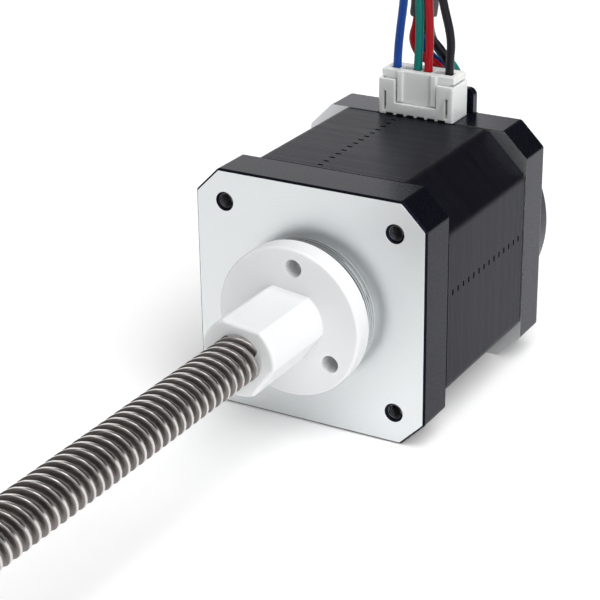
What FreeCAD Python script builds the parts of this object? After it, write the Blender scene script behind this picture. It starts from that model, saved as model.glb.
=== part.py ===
import FreeCAD, Part
import math
import os

import Sketcher

# External linear stepper motor with a lead screw, a flanged nut and a plug-in lead.
# Origin: centre of the machined front face, on the screw's axis. The screw points along -Y,
# the motor body lies along +Y and the connector is on top, +Z. Millimetres.

DRIVING_SIZES = (
    ("frame_width", 42.0, "square of both end caps"),
    ("bolt_inset", 5.5, "tapped holes and tie screws, in from the caps' sides"),
    ("cap_web", 1.69, "caps' metal between a counterbore and the cut corner"),
    ("face_bevel", 0.35, "bevel round the machined front face"),
    ("front_cap_depth", 7.8, "front cap along the axis"),
    ("front_wall", 3.2, "front cap's wall behind the machined face"),
    ("stator_length", 30.6, "laminated stack along the axis"),
    ("cap_round", 0.8, "caps' cast edges along the axis and round the rear"),
    ("rear_boss_wall", 2.4, "wall of the round housing behind the rear cap"),
    ("rear_boss_height", 6.5, "how far that housing stands out"),
    ("rear_boss_round", 1.0, "round on its rim"),
    ("rear_wall", 2.2, "thickness of its end wall"),
    ("hub_wall", 2.0, "wall of the bearing hubs in both caps"),
    ("pilot_diameter", 24.0, "turned register boss on the front face"),
    ("pilot_height", 2.0, "how far the register boss stands out"),
    ("groove_place", 1.05, "turned line on the boss, from the face"),
    ("groove_width", 0.24, "width and twice the depth of that line"),
    ("screw_room", 0.7, "gap round the screw in the boss"),
    ("tap_diameter", 2.5, "core hole of the M3 threads"),
    ("tap_bevel", 0.4, "bevel at the mouth of each tapped hole"),
    ("stator_inset", 0.1, "stack inside the caps' outline, per side"),
    ("stator_web", 0.77, "stack's metal between a tie-screw hole and the cut corner"),
    ("stator_round", 1.8, "stack's long edges at its cut corners"),
    ("stator_bore", 22.0, "bore over the stator teeth"),
    ("tooth_depth", 0.6, "depth of stator and rotor teeth"),
    ("tooth_gap", 0.8, "width of the gap between two teeth"),
    ("slot_opening", 1.1, "gap between two pole shoes"),
    ("pole_width", 4.2, "width of a stator pole"),
    ("shoe_thickness", 2.0, "pole shoes, from the bore to the pole"),
    ("slot_depth", 3.6, "winding slots behind the shoes"),
    ("air_gap", 0.05, "running gap between stator and rotor"),
    ("rotor_recess", 0.9, "rotor's ends inside the stack's"),
    ("magnet_thickness", 2.0, "disc magnet between the cups"),
    ("magnet_step", 0.55, "disc magnet below the cups' tooth gaps"),
    ("shank_diameter", 5.0, "motor shaft behind the thread"),
    ("press_gap", 0.02, "modelling gap at press and sliding seats"),
    ("part_gap", 0.3, "gap between neighbouring pieces that do not seat"),
    ("bearing_outside", 16.0, "bearing, outer diameter"),
    ("bearing_width", 5.0, "bearing, width"),
    ("inner_race", 1.7, "thickness of the bearing's inner ring"),
    ("outer_race", 2.0, "thickness of the bearing's outer ring"),
    ("shield_thickness", 0.3, "bearing shields"),
    ("washer_thickness", 0.35, "conical preload washer, sheet thickness"),
    ("washer_height", 1.2, "conical preload washer, as squeezed"),
    ("bearing_sink", 0.6, "front bearing below the cap's rear edge"),
    ("shank_room", 2.5, "room for the shaft's end behind the preload washer"),
    ("insulator_thickness", 1.0, "plastic insulators on the stack's ends"),
    ("insulator_wall", 0.6, "thickness of the insulators' walls"),
    ("coil_build", 2.0, "thickness of a winding"),
    ("screw_diameter", 8.0, "lead screw over its thread"),
    ("screw_length", 100.0, "lead screw in front of the machined face"),
    ("thread_pitch", 2.0, "lead screw from one crest to the next"),
    ("thread_depth", 1.1, "lead screw's grooves"),
    ("screw_tip_bevel", 0.8, "bevel on the screw's tip"),
    ("shank_shoulder", 0.8, "step that the front bearing sits against"),
    ("nut_gap", 1.0, "nut's flange in front of the register boss"),
    ("nut_length", 19.05, "nut overall"),
    ("nut_flange_diameter", 25.4, "nut flange"),
    ("nut_flange_thickness", 3.9, "nut flange"),
    ("nut_edge", 0.4, "rounding of the flange's edges"),
    ("nut_barrel", 13.0, "nut barrel"),
    ("nut_barrel_round", 0.6, "rounding of the barrel's end"),
    ("nut_flat_depth", 0.9, "barrel's flats"),
    ("nut_hole_inset", 3.175, "flange holes, in from the flange's edge"),
    ("nut_hole", 3.0, "flange holes"),
    ("thread_gap", 0.05, "running gap between screw and nut"),
    ("tie_head_diameter", 5.5, "tie screw head"),
    ("tie_head_height", 2.8, "tie screw head"),
    ("tie_shank", 2.9, "tie screw shank"),
    ("tie_socket", 2.5, "tie screw hexagon socket, across flats"),
    ("tie_room", 0.25, "gap round a tie screw's shank"),
    ("tie_head_sink", 0.2, "tie screw heads below the rear cap's face"),
    ("mount_depth", 4.5, "free thread for the mounting screws"),
    ("pin_pitch", 2.0, "header pins"),
    ("pin_side", 0.5, "square header pins"),
    ("header_margin", 2.2, "header beyond the outer pins"),
    ("header_depth", 6.0, "header along the motor"),
    ("header_height", 6.3, "header above the rear cap"),
    ("header_wall", 0.6, "header walls"),
    ("header_floor", 1.2, "header floor"),
    ("header_round", 0.4, "header's upright edges"),
    ("header_lip", 0.4, "header's front over the stack's end"),
    ("window_width", 8.0, "window in the header's front wall"),
    ("window_sill", 2.1, "sill of that window above the header's foot"),
    ("slit_offset", 0.9, "slits in the header's front wall, outside the outer pins"),
    ("slit_width", 0.5, "slits in the header's front wall"),
    ("slit_height", 3.5, "slits in the header's front wall"),
    ("plug_height", 1.55, "plug above the header"),
    ("plug_collar", 1.3, "plug's collar over the header's rim"),
    ("plug_rib", 1.0, "ribs on the plug in the header's window"),
    ("cavity_web", 0.3, "plug's walls between the terminal cavities"),
    ("crimp_length", 3.6, "crimp terminals"),
    ("board_thickness", 1.6, "terminal board"),
    ("header_room", 0.3, "room behind the terminal board"),
    ("guard_margin", 0.7, "wall behind the connector, wider than the header"),
    ("guard_thickness", 1.5, "wall behind the connector"),
    ("guard_height", 4.3, "wall behind the connector, above the cap"),
    ("guard_round", 1.3, "its rounded corners"),
    ("wire_diameter", 1.5, "insulated lead wires"),
    ("sleeve_diameter", 4.9, "heat-shrink sleeve"),
    ("sleeve_wall", 0.5, "heat-shrink sleeve"),
    ("coil_radius", 14.9, "wound-up lead, middle of its turns"),
    ("coil_section", 6.3, "wound-up lead, its square section"),
    ("tie_band", 2.4, "width of the band round the wound-up lead"),
    ("far_housing_length", 14.0, "four-way housing at the lead's end"),
    ("far_housing_pitch", 2.54, "four-way housing at the lead's end"),
    ("far_housing_height", 3.0, "four-way housing at the lead's end"),
)

POLES = 8
TEETH_PER_POLE = 6
ROTOR_TEETH = 50
NUT_TURN = 7.0
CAP_CORNERS = ((1, 1), (-1, 1), (-1, -1), (1, -1))
PIN_WIRES = ("blue", "", "green", "red", "", "black")
PIN_COUNT = len(PIN_WIRES)
BALLS = 8
THREAD_STARTS = 4
THREAD_TURN = 45.0
ALONG_Y = "XZ_Plane"
ALONG_Z = "XY_Plane"

DOC = FreeCAD.newDocument("linear_stepper")


class Size:
    """A length with its present value and the sheet expression that it comes from."""

    def __init__(self, value, text):
        self.value = value
        self.text = text

    def combined(self, sign, other, value):
        return Size(value, f"({self.text} {sign} {other.text})")

    def __add__(self, other):
        other = sized(other)
        return self.combined("+", other, self.value + other.value)

    def __sub__(self, other):
        other = sized(other)
        return self.combined("-", other, self.value - other.value)

    def __mul__(self, other):
        other = sized(other)
        return self.combined("*", other, self.value * other.value)

    def __truediv__(self, other):
        other = sized(other)
        return self.combined("/", other, self.value / other.value)

    def __neg__(self):
        return sized(0) - self


def sized(number):
    """A plain number as a Size; a Size as it is."""
    if isinstance(number, Size):
        return number
    return Size(float(number), f"({number:.9f})")


class Sheet:
    """The spreadsheet of driving sizes; each one is an attribute here, as a Size."""

    def __init__(self):
        cells = DOC.addObject("Spreadsheet::Sheet", "sizes")
        for row, (alias, value, meaning) in enumerate(DRIVING_SIZES, start=1):
            cells.set(f"A{row}", meaning)
            cells.set(f"B{row}", str(value))
            cells.setAlias(f"B{row}", alias)
        DOC.recompute()
        for alias, _, _ in DRIVING_SIZES:
            setattr(self, alias, Size(float(cells.get(alias)), f"sizes.{alias}"))


S = Sheet()
ZERO = sized(0)
PIECES = []


def pin_point(sketch, geometry, corner, across, along):
    """Ties one sketch point to the sketch's origin, both ways, with sizes from the sheet."""
    for kind, size in (("DistanceX", across), ("DistanceY", along)):
        place = sketch.addConstraint(Sketcher.Constraint(kind, -1, 1, geometry, corner, size.value))
        sketch.setExpression(f"Constraints[{place}]", size.text)


def polygon(corners):
    """A closed outline of straight lines through corners, pairs of sizes."""
    corners = [(sized(across), sized(along)) for across, along in corners]

    def draw(sketch):
        first = sketch.GeometryCount
        points = [FreeCAD.Vector(across.value, along.value, 0) for across, along in corners]
        ends = points[1:] + points[:1]
        sketch.addGeometry([Part.LineSegment(a, b) for a, b in zip(points, ends)], False)
        count = len(points)
        joins = [
            Sketcher.Constraint("Coincident", first + k, 2, first + (k + 1) % count, 1)
            for k in range(count)
        ]
        sketch.addConstraint(joins)
        for k, (across, along) in enumerate(corners):
            pin_point(sketch, first + k, 1, across, along)

    return draw


def circle(radius, across=ZERO, along=ZERO):
    """A circle about a point of the sketch."""
    radius, across, along = sized(radius), sized(across), sized(along)

    def draw(sketch):
        centre = FreeCAD.Vector(across.value, along.value, 0)
        upwards = FreeCAD.Vector(0, 0, 1)
        geometry = sketch.addGeometry(Part.Circle(centre, upwards, radius.value), False)
        pin_point(sketch, geometry, 3, across, along)
        place = sketch.addConstraint(Sketcher.Constraint("Radius", geometry, radius.value))
        sketch.setExpression(f"Constraints[{place}]", radius.text)

    return draw


def arc_outline(arcs):
    """A closed outline of arcs about the sketch's origin, each a radius and two angles, joined by lines."""
    arcs = [(sized(radius), angles) for radius, angles in arcs]

    def draw(sketch):
        centre, upwards = FreeCAD.Vector(), FreeCAD.Vector(0, 0, 1)
        drawn = []
        for radius, angles in arcs:
            first, last = map(math.radians, angles)
            whole = Part.Circle(centre, upwards, radius.value)
            arc = sketch.addGeometry(Part.ArcOfCircle(whole, first, last), False)
            pin_point(sketch, arc, 1, radius * math.cos(first), radius * math.sin(first))
            pin_point(sketch, arc, 2, radius * math.cos(last), radius * math.sin(last))
            place = sketch.addConstraint(Sketcher.Constraint("Radius", arc, radius.value))
            sketch.setExpression(f"Constraints[{place}]", radius.text)
            drawn.append(arc)
        for arc, following in zip(drawn, drawn[1:] + drawn[:1]):
            ends = sketch.getPoint(arc, 2), sketch.getPoint(following, 1)
            line = sketch.addGeometry(Part.LineSegment(*ends), False)
            sketch.addConstraint(Sketcher.Constraint("Coincident", arc, 2, line, 1))
            sketch.addConstraint(Sketcher.Constraint("Coincident", line, 2, following, 1))

    return draw


def rectangle(left, right, low, high):
    """An upright rectangle between two places across and two along the sketch."""
    return polygon([(left, low), (right, low), (right, high), (left, high)])


def cut_square(half, corner):
    """A square about the axis with its four corners cut off."""
    inner = half - corner
    return polygon([
        (half, -inner), (half, inner), (inner, half), (-inner, half),
        (-half, inner), (-half, -inner), (-inner, -half), (inner, -half),
    ])


def at_corners(radius):
    """Four circles at the bolt spacing."""
    half = BOLT_SPACING / 2
    return [circle(radius, half * across, half * along) for across, along in CAP_CORNERS]


def pin_places():
    """Where the header's pins stand across the motor."""
    first = -PIN_SPAN / 2
    return [first + S.pin_pitch * k for k in range(PIN_COUNT)]


class Piece:
    """A sub-part made as a body of sketches, pads, pockets and turned shapes."""

    def __init__(self, label):
        self.body = DOC.addObject("PartDesign::Body", label)
        self.body.Label = label
        PIECES.append(self.body)

    def origin(self, role):
        return next(item for item in self.body.Origin.OriginFeatures if item.Role == role)

    def sketch(self, plane, height, shapes):
        """A sketch on an origin plane, moved along Y or Z to height."""
        sketch = self.body.newObject("Sketcher::SketchObject", self.body.Label + "_sketch")
        sketch.AttachmentSupport = [(self.origin(plane), "")]
        sketch.MapMode = "FlatFace"
        shift = -height if plane == ALONG_Y else height
        sketch.AttachmentOffset = FreeCAD.Placement(FreeCAD.Vector(0, 0, shift.value), FreeCAD.Rotation())
        sketch.setExpression("AttachmentOffset.Base.z", shift.text)
        for draw in shapes:
            draw(sketch)
        return sketch

    def feature(self, kind, sketch):
        made = self.body.newObject("PartDesign::" + kind, f"{self.body.Label}_{kind.lower()}")
        made.Profile = sketch
        sketch.Visibility = False
        return made

    def add(self, plane, start, end, *shapes):
        """Pads the shapes from start to end along +Y or +Z."""
        start, end = sized(start), sized(end)
        made = self.feature("Pad", self.sketch(plane, start, shapes))
        made.setExpression("Length", (end - start).text)
        made.Reversed = plane == ALONG_Y
        return made

    def cut(self, plane, start, end, *shapes):
        """Pockets the shapes from start to end along +Y or +Z."""
        start, end = sized(start), sized(end)
        made = self.feature("Pocket", self.sketch(plane, start, shapes))
        made.setExpression("Length", (end - start).text)
        made.Reversed = plane == ALONG_Z
        return made

    def turn(self, *shapes):
        """Turns the shapes, drawn as radius and Y, about the screw's axis."""
        made = self.feature("Revolution", self.sketch(ALONG_Z, ZERO, shapes))
        made.ReferenceAxis = (self.origin("Y_Axis"), [""])
        made.Angle = 360
        return made

    def turn_cut(self, *shapes):
        """Cuts the shapes, drawn as radius and Y, all round the screw's axis."""
        made = self.feature("Groove", self.sketch(ALONG_Z, ZERO, shapes))
        made.ReferenceAxis = (self.origin("Y_Axis"), [""])
        made.Angle = 360
        return made

    def wind(self, start, end, lead, *shapes):
        """Winds the shapes, drawn across the screw, right-handed about its axis from start to end."""
        start, end = sized(start), sized(end)
        made = self.feature("AdditiveHelix", self.sketch(ALONG_Y, start, shapes))
        made.ReferenceAxis = (self.origin("Y_Axis"), [""])
        made.Mode = "pitch-height-angle"
        made.setExpression("Pitch", lead.text)
        made.setExpression("Height", (end - start).text)
        return made

    def around(self, feature, count):
        """Repeats a feature evenly about the screw's axis."""
        pattern = self.body.newObject("PartDesign::PolarPattern", self.body.Label + "_pattern")
        pattern.Originals = [feature]
        pattern.Axis = (self.origin("Y_Axis"), [""])
        pattern.Angle = 360
        pattern.setExpression("Occurrences", sized(count).text)
        self.body.Tip = pattern
        return pattern

    def dress_edges(self, kind, size, wanted):
        """A fillet or chamfer on each edge that wanted() accepts."""
        DOC.recompute()
        base = self.body.Tip
        names = [f"Edge{k}" for k, edge in enumerate(base.Shape.Edges, start=1) if wanted(edge)]
        made = self.body.newObject("PartDesign::" + kind, f"{self.body.Label}_{kind.lower()}")
        made.Base = (base, names)
        made.setExpression("Radius" if kind == "Fillet" else "Size", size.text)
        return made


def loose_shape(label, shape):
    """A sub-part whose shape is worked out here from the sheet's values."""
    item = DOC.addObject("Part::Feature", label)
    item.Label = label
    item.Shape = shape
    item.Placement = FreeCAD.Placement()
    PIECES.append(item)
    return item


def lies_at(edge, y):
    """Whether an edge lies all in the plane at y."""
    return abs(edge.BoundBox.YMin - y) < 1e-4 and abs(edge.BoundBox.YMax - y) < 1e-4


def runs_along_axis(edge):
    """Whether an edge is a straight line along the screw's axis."""
    box = edge.BoundBox
    return box.XLength < 1e-4 and box.ZLength < 1e-4


def runs_upright(edge):
    """Whether an edge is a straight line upwards."""
    box = edge.BoundBox
    return box.XLength < 1e-4 and box.YLength < 1e-4


def ring(inside, outside, start, end):
    """A plain ring about the screw's axis between two places along it."""
    base = FreeCAD.Vector(0, start, 0)
    along = FreeCAD.Vector(0, 1, 0)
    outer = Part.makeCylinder(outside, end - start, base, along)
    return outer.cut(Part.makeCylinder(inside, end - start, base, along))


# Places along the axis that several pieces share.
HALF = S.frame_width / 2
BOLT_SPACING = S.frame_width - S.bolt_inset * 2
TIE_HOLE = S.tie_shank / 2 + S.tie_room
TIE_SEAT = S.tie_head_diameter / 2 + S.part_gap
CAP_CORNER = S.frame_width - BOLT_SPACING - (TIE_SEAT + S.cap_web) * math.sqrt(2)
STATOR_HALF = HALF - S.stator_inset
STATOR_CORNER = STATOR_HALF * 2 - BOLT_SPACING - (TIE_HOLE + S.stator_web) * math.sqrt(2)
SHOE_BACK = S.stator_bore / 2 + S.shoe_thickness
SLOT_FLOOR = SHOE_BACK + S.slot_depth
WINDING_ROOM = SLOT_FLOOR - S.part_gap
INSULATOR_RADIUS = WINDING_ROOM + S.insulator_wall
CAVITY_RADIUS = INSULATOR_RADIUS + S.part_gap
STACK_FRONT = S.front_cap_depth
STACK_REAR = STACK_FRONT + S.stator_length
STACK_MIDDLE = STACK_FRONT + S.stator_length / 2
HEADER_FRONT = STACK_REAR - S.header_lip
HEADER_REAR = HEADER_FRONT + S.header_depth
BOARD_FRONT = STACK_REAR + S.part_gap
BOARD_REAR = HEADER_REAR + S.header_wall
GUARD_FRONT = BOARD_REAR + S.header_room
CAP_REAR = GUARD_FRONT + S.guard_thickness
BOSS_REAR = CAP_REAR + S.rear_boss_height
REAR_INSIDE = BOSS_REAR - S.rear_wall
WASHER_SEAT = REAR_INSIDE - S.shank_room
REAR_BEARING = WASHER_SEAT - S.washer_height - S.bearing_width
FRONT_BEARING = S.front_cap_depth - S.bearing_sink - S.bearing_width
SHANK_END = WASHER_SEAT + S.part_gap * 2
SEAT_RADIUS = S.bearing_outside / 2
HUB_RADIUS = SEAT_RADIUS + S.hub_wall
SHANK_SEAT = S.shank_diameter / 2 + S.press_gap
ROTOR_RADIUS = S.stator_bore / 2 - S.air_gap
CUP_LENGTH = (S.stator_length - S.magnet_thickness) / 2 - S.rotor_recess
INNER_LAND = S.shank_diameter / 2 + S.inner_race
OUTER_LAND = SEAT_RADIUS - S.outer_race
BALL_CIRCLE = (INNER_LAND + OUTER_LAND) / 2
BALL_RADIUS = S.bearing_width / 4
NUT_REAR = -(S.pilot_height + S.nut_gap)
NUT_FACE = NUT_REAR - S.nut_flange_thickness
NUT_END = NUT_REAR - S.nut_length
PIN_SPAN = S.pin_pitch * (PIN_COUNT - 1)
PIN_ROW = HEADER_FRONT + S.header_depth / 2
HEADER_HALF = PIN_SPAN / 2 + S.header_margin
HEADER_TOP = HALF + S.header_height
PLUG_TOP = HEADER_TOP + S.plug_height
CRIMP_FOOT = HALF + S.header_floor + S.part_gap * 2
CRIMP_TOP = CRIMP_FOOT + S.crimp_length
CRIMP_SOCKET = S.crimp_length * 0.75
PLUG_CAVITY = (S.pin_pitch - S.cavity_web) / 2
BOARD_FOOT = HALF - S.board_thickness
PIN_FOOT = BOARD_FOOT - (BOARD_FOOT - INSULATOR_RADIUS) * 0.36


def make_front_end_cap():
    """Die-cast cap: machined face, register boss, bearing hub and four tapped corners."""
    cap = Piece("front_end_cap")
    cap.add(ALONG_Y, ZERO, S.front_cap_depth, cut_square(HALF, CAP_CORNER))
    cap.dress_edges("Fillet", S.cap_round, runs_along_axis)
    cap.add(ALONG_Y, -S.pilot_height, ZERO, circle(S.pilot_diameter / 2))
    cap.cut(ALONG_Y, S.front_wall, S.front_cap_depth, circle(CAVITY_RADIUS), circle(HUB_RADIUS))
    cap.cut(ALONG_Y, FRONT_BEARING, S.front_cap_depth, circle(SEAT_RADIUS))
    opening = S.screw_diameter / 2 + S.screw_room
    cap.cut(ALONG_Y, -S.pilot_height, S.front_cap_depth, circle(opening))
    cap.cut(ALONG_Y, ZERO, S.mount_depth, *at_corners(S.tap_diameter / 2))
    cap.cut(ALONG_Y, S.mount_depth, S.front_cap_depth, *at_corners(S.tie_shank / 2 + S.press_gap))
    pilot = S.pilot_diameter / 2
    line = -S.groove_place
    half_width = S.groove_width / 2
    cap.turn_cut(polygon([
        (pilot - half_width, line),
        (pilot + half_width, line - S.groove_width),
        (pilot + half_width, line + S.groove_width),
    ]))
    reach = HALF.value - CAP_CORNER.value

    def on_outline(edge):
        middle = edge.BoundBox.Center
        return lies_at(edge, 0) and max(abs(middle.x), abs(middle.z)) >= reach - 1e-3 and not edge.isClosed()

    def on_tap_mouth(edge):
        middle = edge.BoundBox.Center
        return lies_at(edge, 0) and edge.isClosed() and math.hypot(middle.x, middle.z) > 1

    cap.dress_edges("Chamfer", S.face_bevel, on_outline)
    cap.dress_edges("Chamfer", S.tap_bevel, on_tap_mouth)


def make_rear_end_cap():
    """Die-cast cap: round bearing housing, counterbored corners, connector opening and its guard."""
    cap = Piece("rear_end_cap")
    cap.add(ALONG_Y, STACK_REAR, CAP_REAR, cut_square(HALF, CAP_CORNER))

    def on_rear_outline(edge):
        return lies_at(edge, CAP_REAR.value)

    def on_rim(edge):
        return lies_at(edge, BOSS_REAR.value)

    cap.dress_edges("Fillet", S.cap_round, runs_along_axis)
    cap.dress_edges("Fillet", S.cap_round, on_rear_outline)
    cap.add(ALONG_Y, CAP_REAR, BOSS_REAR, circle(CAVITY_RADIUS + S.rear_boss_wall))
    cap.dress_edges("Fillet", S.rear_boss_round, on_rim)
    guard_half = HEADER_HALF + S.guard_margin
    guard_top = HALF + S.guard_height
    foot = HALF - S.front_wall
    cap.add(ALONG_Y, GUARD_FRONT, CAP_REAR, rectangle(-guard_half, guard_half, foot, guard_top))
    top = guard_top.value

    def on_guard_corner(edge):
        box = edge.BoundBox
        return abs(box.ZMin - top) < 1e-4 and abs(box.ZMax - top) < 1e-4 and box.XLength < 1e-4

    cap.dress_edges("Fillet", S.guard_round, on_guard_corner)
    cap.cut(ALONG_Y, STACK_REAR, REAR_BEARING, circle(CAVITY_RADIUS))
    cap.cut(ALONG_Y, REAR_BEARING, REAR_INSIDE, circle(CAVITY_RADIUS), circle(HUB_RADIUS))
    cap.cut(ALONG_Y, REAR_BEARING, WASHER_SEAT, circle(SEAT_RADIUS))
    cap.cut(ALONG_Y, WASHER_SEAT, REAR_INSIDE, circle(BALL_CIRCLE))
    cap.cut(ALONG_Y, STACK_REAR, CAP_REAR, *at_corners(TIE_HOLE))
    seat = CAP_REAR - S.tie_head_height - S.tie_head_sink
    cap.cut(ALONG_Y, seat, BOSS_REAR, *at_corners(TIE_SEAT))
    opening = HEADER_HALF + S.part_gap
    cap.cut(ALONG_Z, HUB_RADIUS, HALF, rectangle(-opening, opening, STACK_REAR, GUARD_FRONT))


def slot_corners():
    """One winding slot beside the upright pole, mirrored about the slot's own middle line."""
    half_step = math.pi / POLES
    middle = (math.sin(half_step), math.cos(half_step))
    aside = (-math.cos(half_step), math.sin(half_step))

    def mirrored(across, along):
        offset = across * aside[0] + along * aside[1]
        return across - offset * (2 * aside[0]), along - offset * (2 * aside[1])

    opening = S.slot_opening / 2
    bore = S.stator_bore / 2
    mouth = bore - S.tooth_depth
    neck = bore + S.tooth_depth * 2
    half_pole = S.pole_width / 2
    one_side = [
        (mouth * middle[0] + opening * aside[0], mouth * middle[1] + opening * aside[1]),
        (neck * middle[0] + opening * aside[0], neck * middle[1] + opening * aside[1]),
        (half_pole, SHOE_BACK),
        (half_pole, SLOT_FLOOR),
    ]
    other_side = [mirrored(across, along) for across, along in reversed(one_side)]
    return one_side + other_side


def tooth_gap_corners(radius, depth, degrees):
    """A gap between two teeth, cut outwards or inwards from radius, turned from the upright."""
    turn = math.radians(degrees)
    half = S.tooth_gap / 2
    low, high = radius - depth, radius + depth
    corners = [(-half, low), (half, low), (half, high), (-half, high)]
    return [
        (across * math.cos(turn) + along * math.sin(turn), along * math.cos(turn) - across * math.sin(turn))
        for across, along in corners
    ]


def make_stator_core():
    """Laminated stack: eight poles of six teeth, winding slots and tie-screw holes."""
    core = Piece("stator_core")
    outline = cut_square(STATOR_HALF, STATOR_CORNER)
    core.add(ALONG_Y, STACK_FRONT, STACK_REAR, outline)
    core.dress_edges("Fillet", S.stator_round, runs_along_axis)
    core.cut(ALONG_Y, STACK_FRONT, STACK_REAR, *at_corners(TIE_HOLE))
    core.cut(ALONG_Y, STACK_FRONT, STACK_REAR, circle(S.stator_bore / 2))
    pitch = 360 / ROTOR_TEETH
    gaps = [
        polygon(tooth_gap_corners(S.stator_bore / 2, S.tooth_depth, pitch * (k - TEETH_PER_POLE / 2 + 1)))
        for k in range(TEETH_PER_POLE - 1)
    ]
    one_pole = core.cut(ALONG_Y, STACK_FRONT, STACK_REAR, polygon(slot_corners()), *gaps)
    core.around(one_pole, POLES)


def make_insulator(label, face, way):
    """Plastic end frame on the stack: a ring with an arm and two walls at each pole."""
    inner = SHOE_BACK - S.part_gap - S.insulator_wall
    frame = Piece(label)
    seat = face + S.insulator_thickness * way
    lip = face + (S.front_cap_depth - S.front_wall - S.part_gap * 2) * way
    half_pole = S.pole_width / 2
    plate = (face, seat) if way > 0 else (seat, face)
    wall = (face, lip) if way > 0 else (lip, face)
    frame.add(ALONG_Y, *wall, circle(INSULATOR_RADIUS), circle(WINDING_ROOM))
    outer = WINDING_ROOM + S.insulator_wall / 2
    arm = frame.add(ALONG_Y, *plate, rectangle(-half_pole, half_pole, inner, outer))
    frame.around(arm, POLES)
    cheek = half_pole + S.coil_build / 2
    lips = frame.add(ALONG_Y, *wall, rectangle(-cheek, cheek, inner, inner + S.insulator_wall))
    frame.around(lips, POLES)
    return frame


def make_insulators():
    """Both end frames; the rear one also carries the terminal board on two posts."""
    make_insulator("front_insulator", STACK_FRONT, -1)
    rear = make_insulator("rear_insulator", STACK_REAR, 1)
    post_near, post_far = HEADER_HALF / 2, HEADER_HALF - S.header_wall
    reach = math.sqrt(INSULATOR_RADIUS.value ** 2 - post_far.value ** 2)
    foot = INSULATOR_RADIUS * (reach / INSULATOR_RADIUS.value) - S.part_gap / 3
    post_rear = PIN_ROW - S.pin_side / 2 - S.part_gap
    for left, right in ((post_near, post_far), (-post_far, -post_near)):
        rear.add(ALONG_Y, STACK_REAR, post_rear, rectangle(left, right, foot, BOARD_FOOT))


def racetrack(half_width, low, high, radius):
    """A rounded rectangle in the XY plane, as a face."""
    box = Part.makePlane(half_width * 2, high - low, FreeCAD.Vector(-half_width, low, 0))
    solid = box.extrude(FreeCAD.Vector(0, 0, 1))
    upright = [edge for edge in solid.Edges if edge.BoundBox.ZLength > 0.5]
    rounded = solid.makeFillet(radius, upright)
    return next(face for face in rounded.Faces if face.BoundBox.ZMax < 1e-6)


def make_windings():
    """Eight racetrack coils round the poles, alternately of the two phases."""
    inner_half = S.pole_width.value / 2 + S.part_gap.value
    build = S.coil_build.value
    low = STACK_FRONT.value - S.insulator_thickness.value
    high = STACK_REAR.value + S.insulator_thickness.value
    floor = SHOE_BACK.value + S.part_gap.value
    half_step = math.pi / POLES
    chord = S.pole_width.value / 2 * math.sin(half_step) + SLOT_FLOOR.value * math.cos(half_step)
    corner = (inner_half + build) * math.sin(half_step)
    depth = (chord - S.part_gap.value - corner) / math.cos(half_step) - floor
    outside = racetrack(inner_half + build, low - build, high + build, build)
    inside = racetrack(inner_half, low, high, S.part_gap.value)
    coil = outside.cut(inside).extrude(FreeCAD.Vector(0, 0, depth))
    coil.translate(FreeCAD.Vector(0, 0, floor))
    for label, first in (("phase_a_coils", 0), ("phase_b_coils", 1)):
        coils = []
        for pole in range(first, POLES, 2):
            turned = coil.copy()
            turned.rotate(FreeCAD.Vector(), FreeCAD.Vector(0, 1, 0), pole * 360 / POLES)
            coils.append(turned)
        loose_shape(label, Part.makeCompound(coils))


def make_rotor_cup(label, start, turned_teeth):
    """A toothed cup on the shaft; the rear one is turned by half a tooth."""
    cup = Piece(label)
    end = start + CUP_LENGTH
    cup.add(ALONG_Y, start, end, circle(ROTOR_RADIUS), circle(SHANK_SEAT))
    gap = cup.cut(ALONG_Y, start, end, polygon(tooth_gap_corners(ROTOR_RADIUS, S.tooth_depth, 0)))
    cup.around(gap, ROTOR_TEETH)
    turn = FreeCAD.Rotation(FreeCAD.Vector(0, 1, 0), 180 / ROTOR_TEETH * turned_teeth)
    cup.body.Placement = FreeCAD.Placement(FreeCAD.Vector(), turn)


def make_rotor():
    """Two toothed cups with the disc magnet between them."""
    front_end = STACK_MIDDLE - S.magnet_thickness / 2
    rear_start = front_end + S.magnet_thickness
    make_rotor_cup("rotor_front_cup", front_end - CUP_LENGTH, 0)
    magnet = Piece("rotor_magnet")
    outside = ROTOR_RADIUS - S.tooth_depth - S.magnet_step
    magnet.add(ALONG_Y, front_end, rear_start, circle(outside), circle(SHANK_SEAT))
    make_rotor_cup("rotor_rear_cup", rear_start, 1)


def make_bearing(end, start):
    """A shielded deep-groove ball bearing as five pieces; start is the face nearest the screw."""
    stop = start + S.bearing_width
    middle = start + S.bearing_width / 2
    track = circle(BALL_RADIUS + S.press_gap, BALL_CIRCLE, middle)
    outer = Piece(end + "_bearing_outer_ring")
    outer.turn(rectangle(OUTER_LAND, SEAT_RADIUS - S.press_gap, start, stop))
    outer.turn_cut(track)
    inner = Piece(end + "_bearing_inner_ring")
    inner.turn(rectangle(SHANK_SEAT, INNER_LAND, start, stop))
    inner.turn_cut(track)
    ball = BALL_RADIUS.value
    pitch = BALL_CIRCLE.value
    turns = [2 * math.pi * k / BALLS for k in range(BALLS)]
    centres = [FreeCAD.Vector(pitch * math.sin(a), middle.value, pitch * math.cos(a)) for a in turns]
    loose_shape(end + "_bearing_balls", Part.makeCompound([Part.makeSphere(ball, at) for at in centres]))
    gap = S.press_gap.value * 2
    thick = S.shield_thickness.value
    crown = OUTER_LAND.value - INNER_LAND.value - S.part_gap.value * 2
    cage_rear = stop.value - thick * 2 - S.part_gap.value
    cage = ring(pitch - crown / 2, pitch + crown / 2, middle.value + ball / 4, cage_rear)
    for at in centres:
        cage = cage.cut(Part.makeSphere(ball + gap, at))
    loose_shape(end + "_bearing_cage", cage)
    shields = [
        ring(INNER_LAND.value + gap * 3, OUTER_LAND.value - gap / 2, near, near + thick)
        for near in (start.value + thick, stop.value - thick * 2)
    ]
    loose_shape(end + "_bearing_shields", Part.makeCompound(shields))


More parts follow.
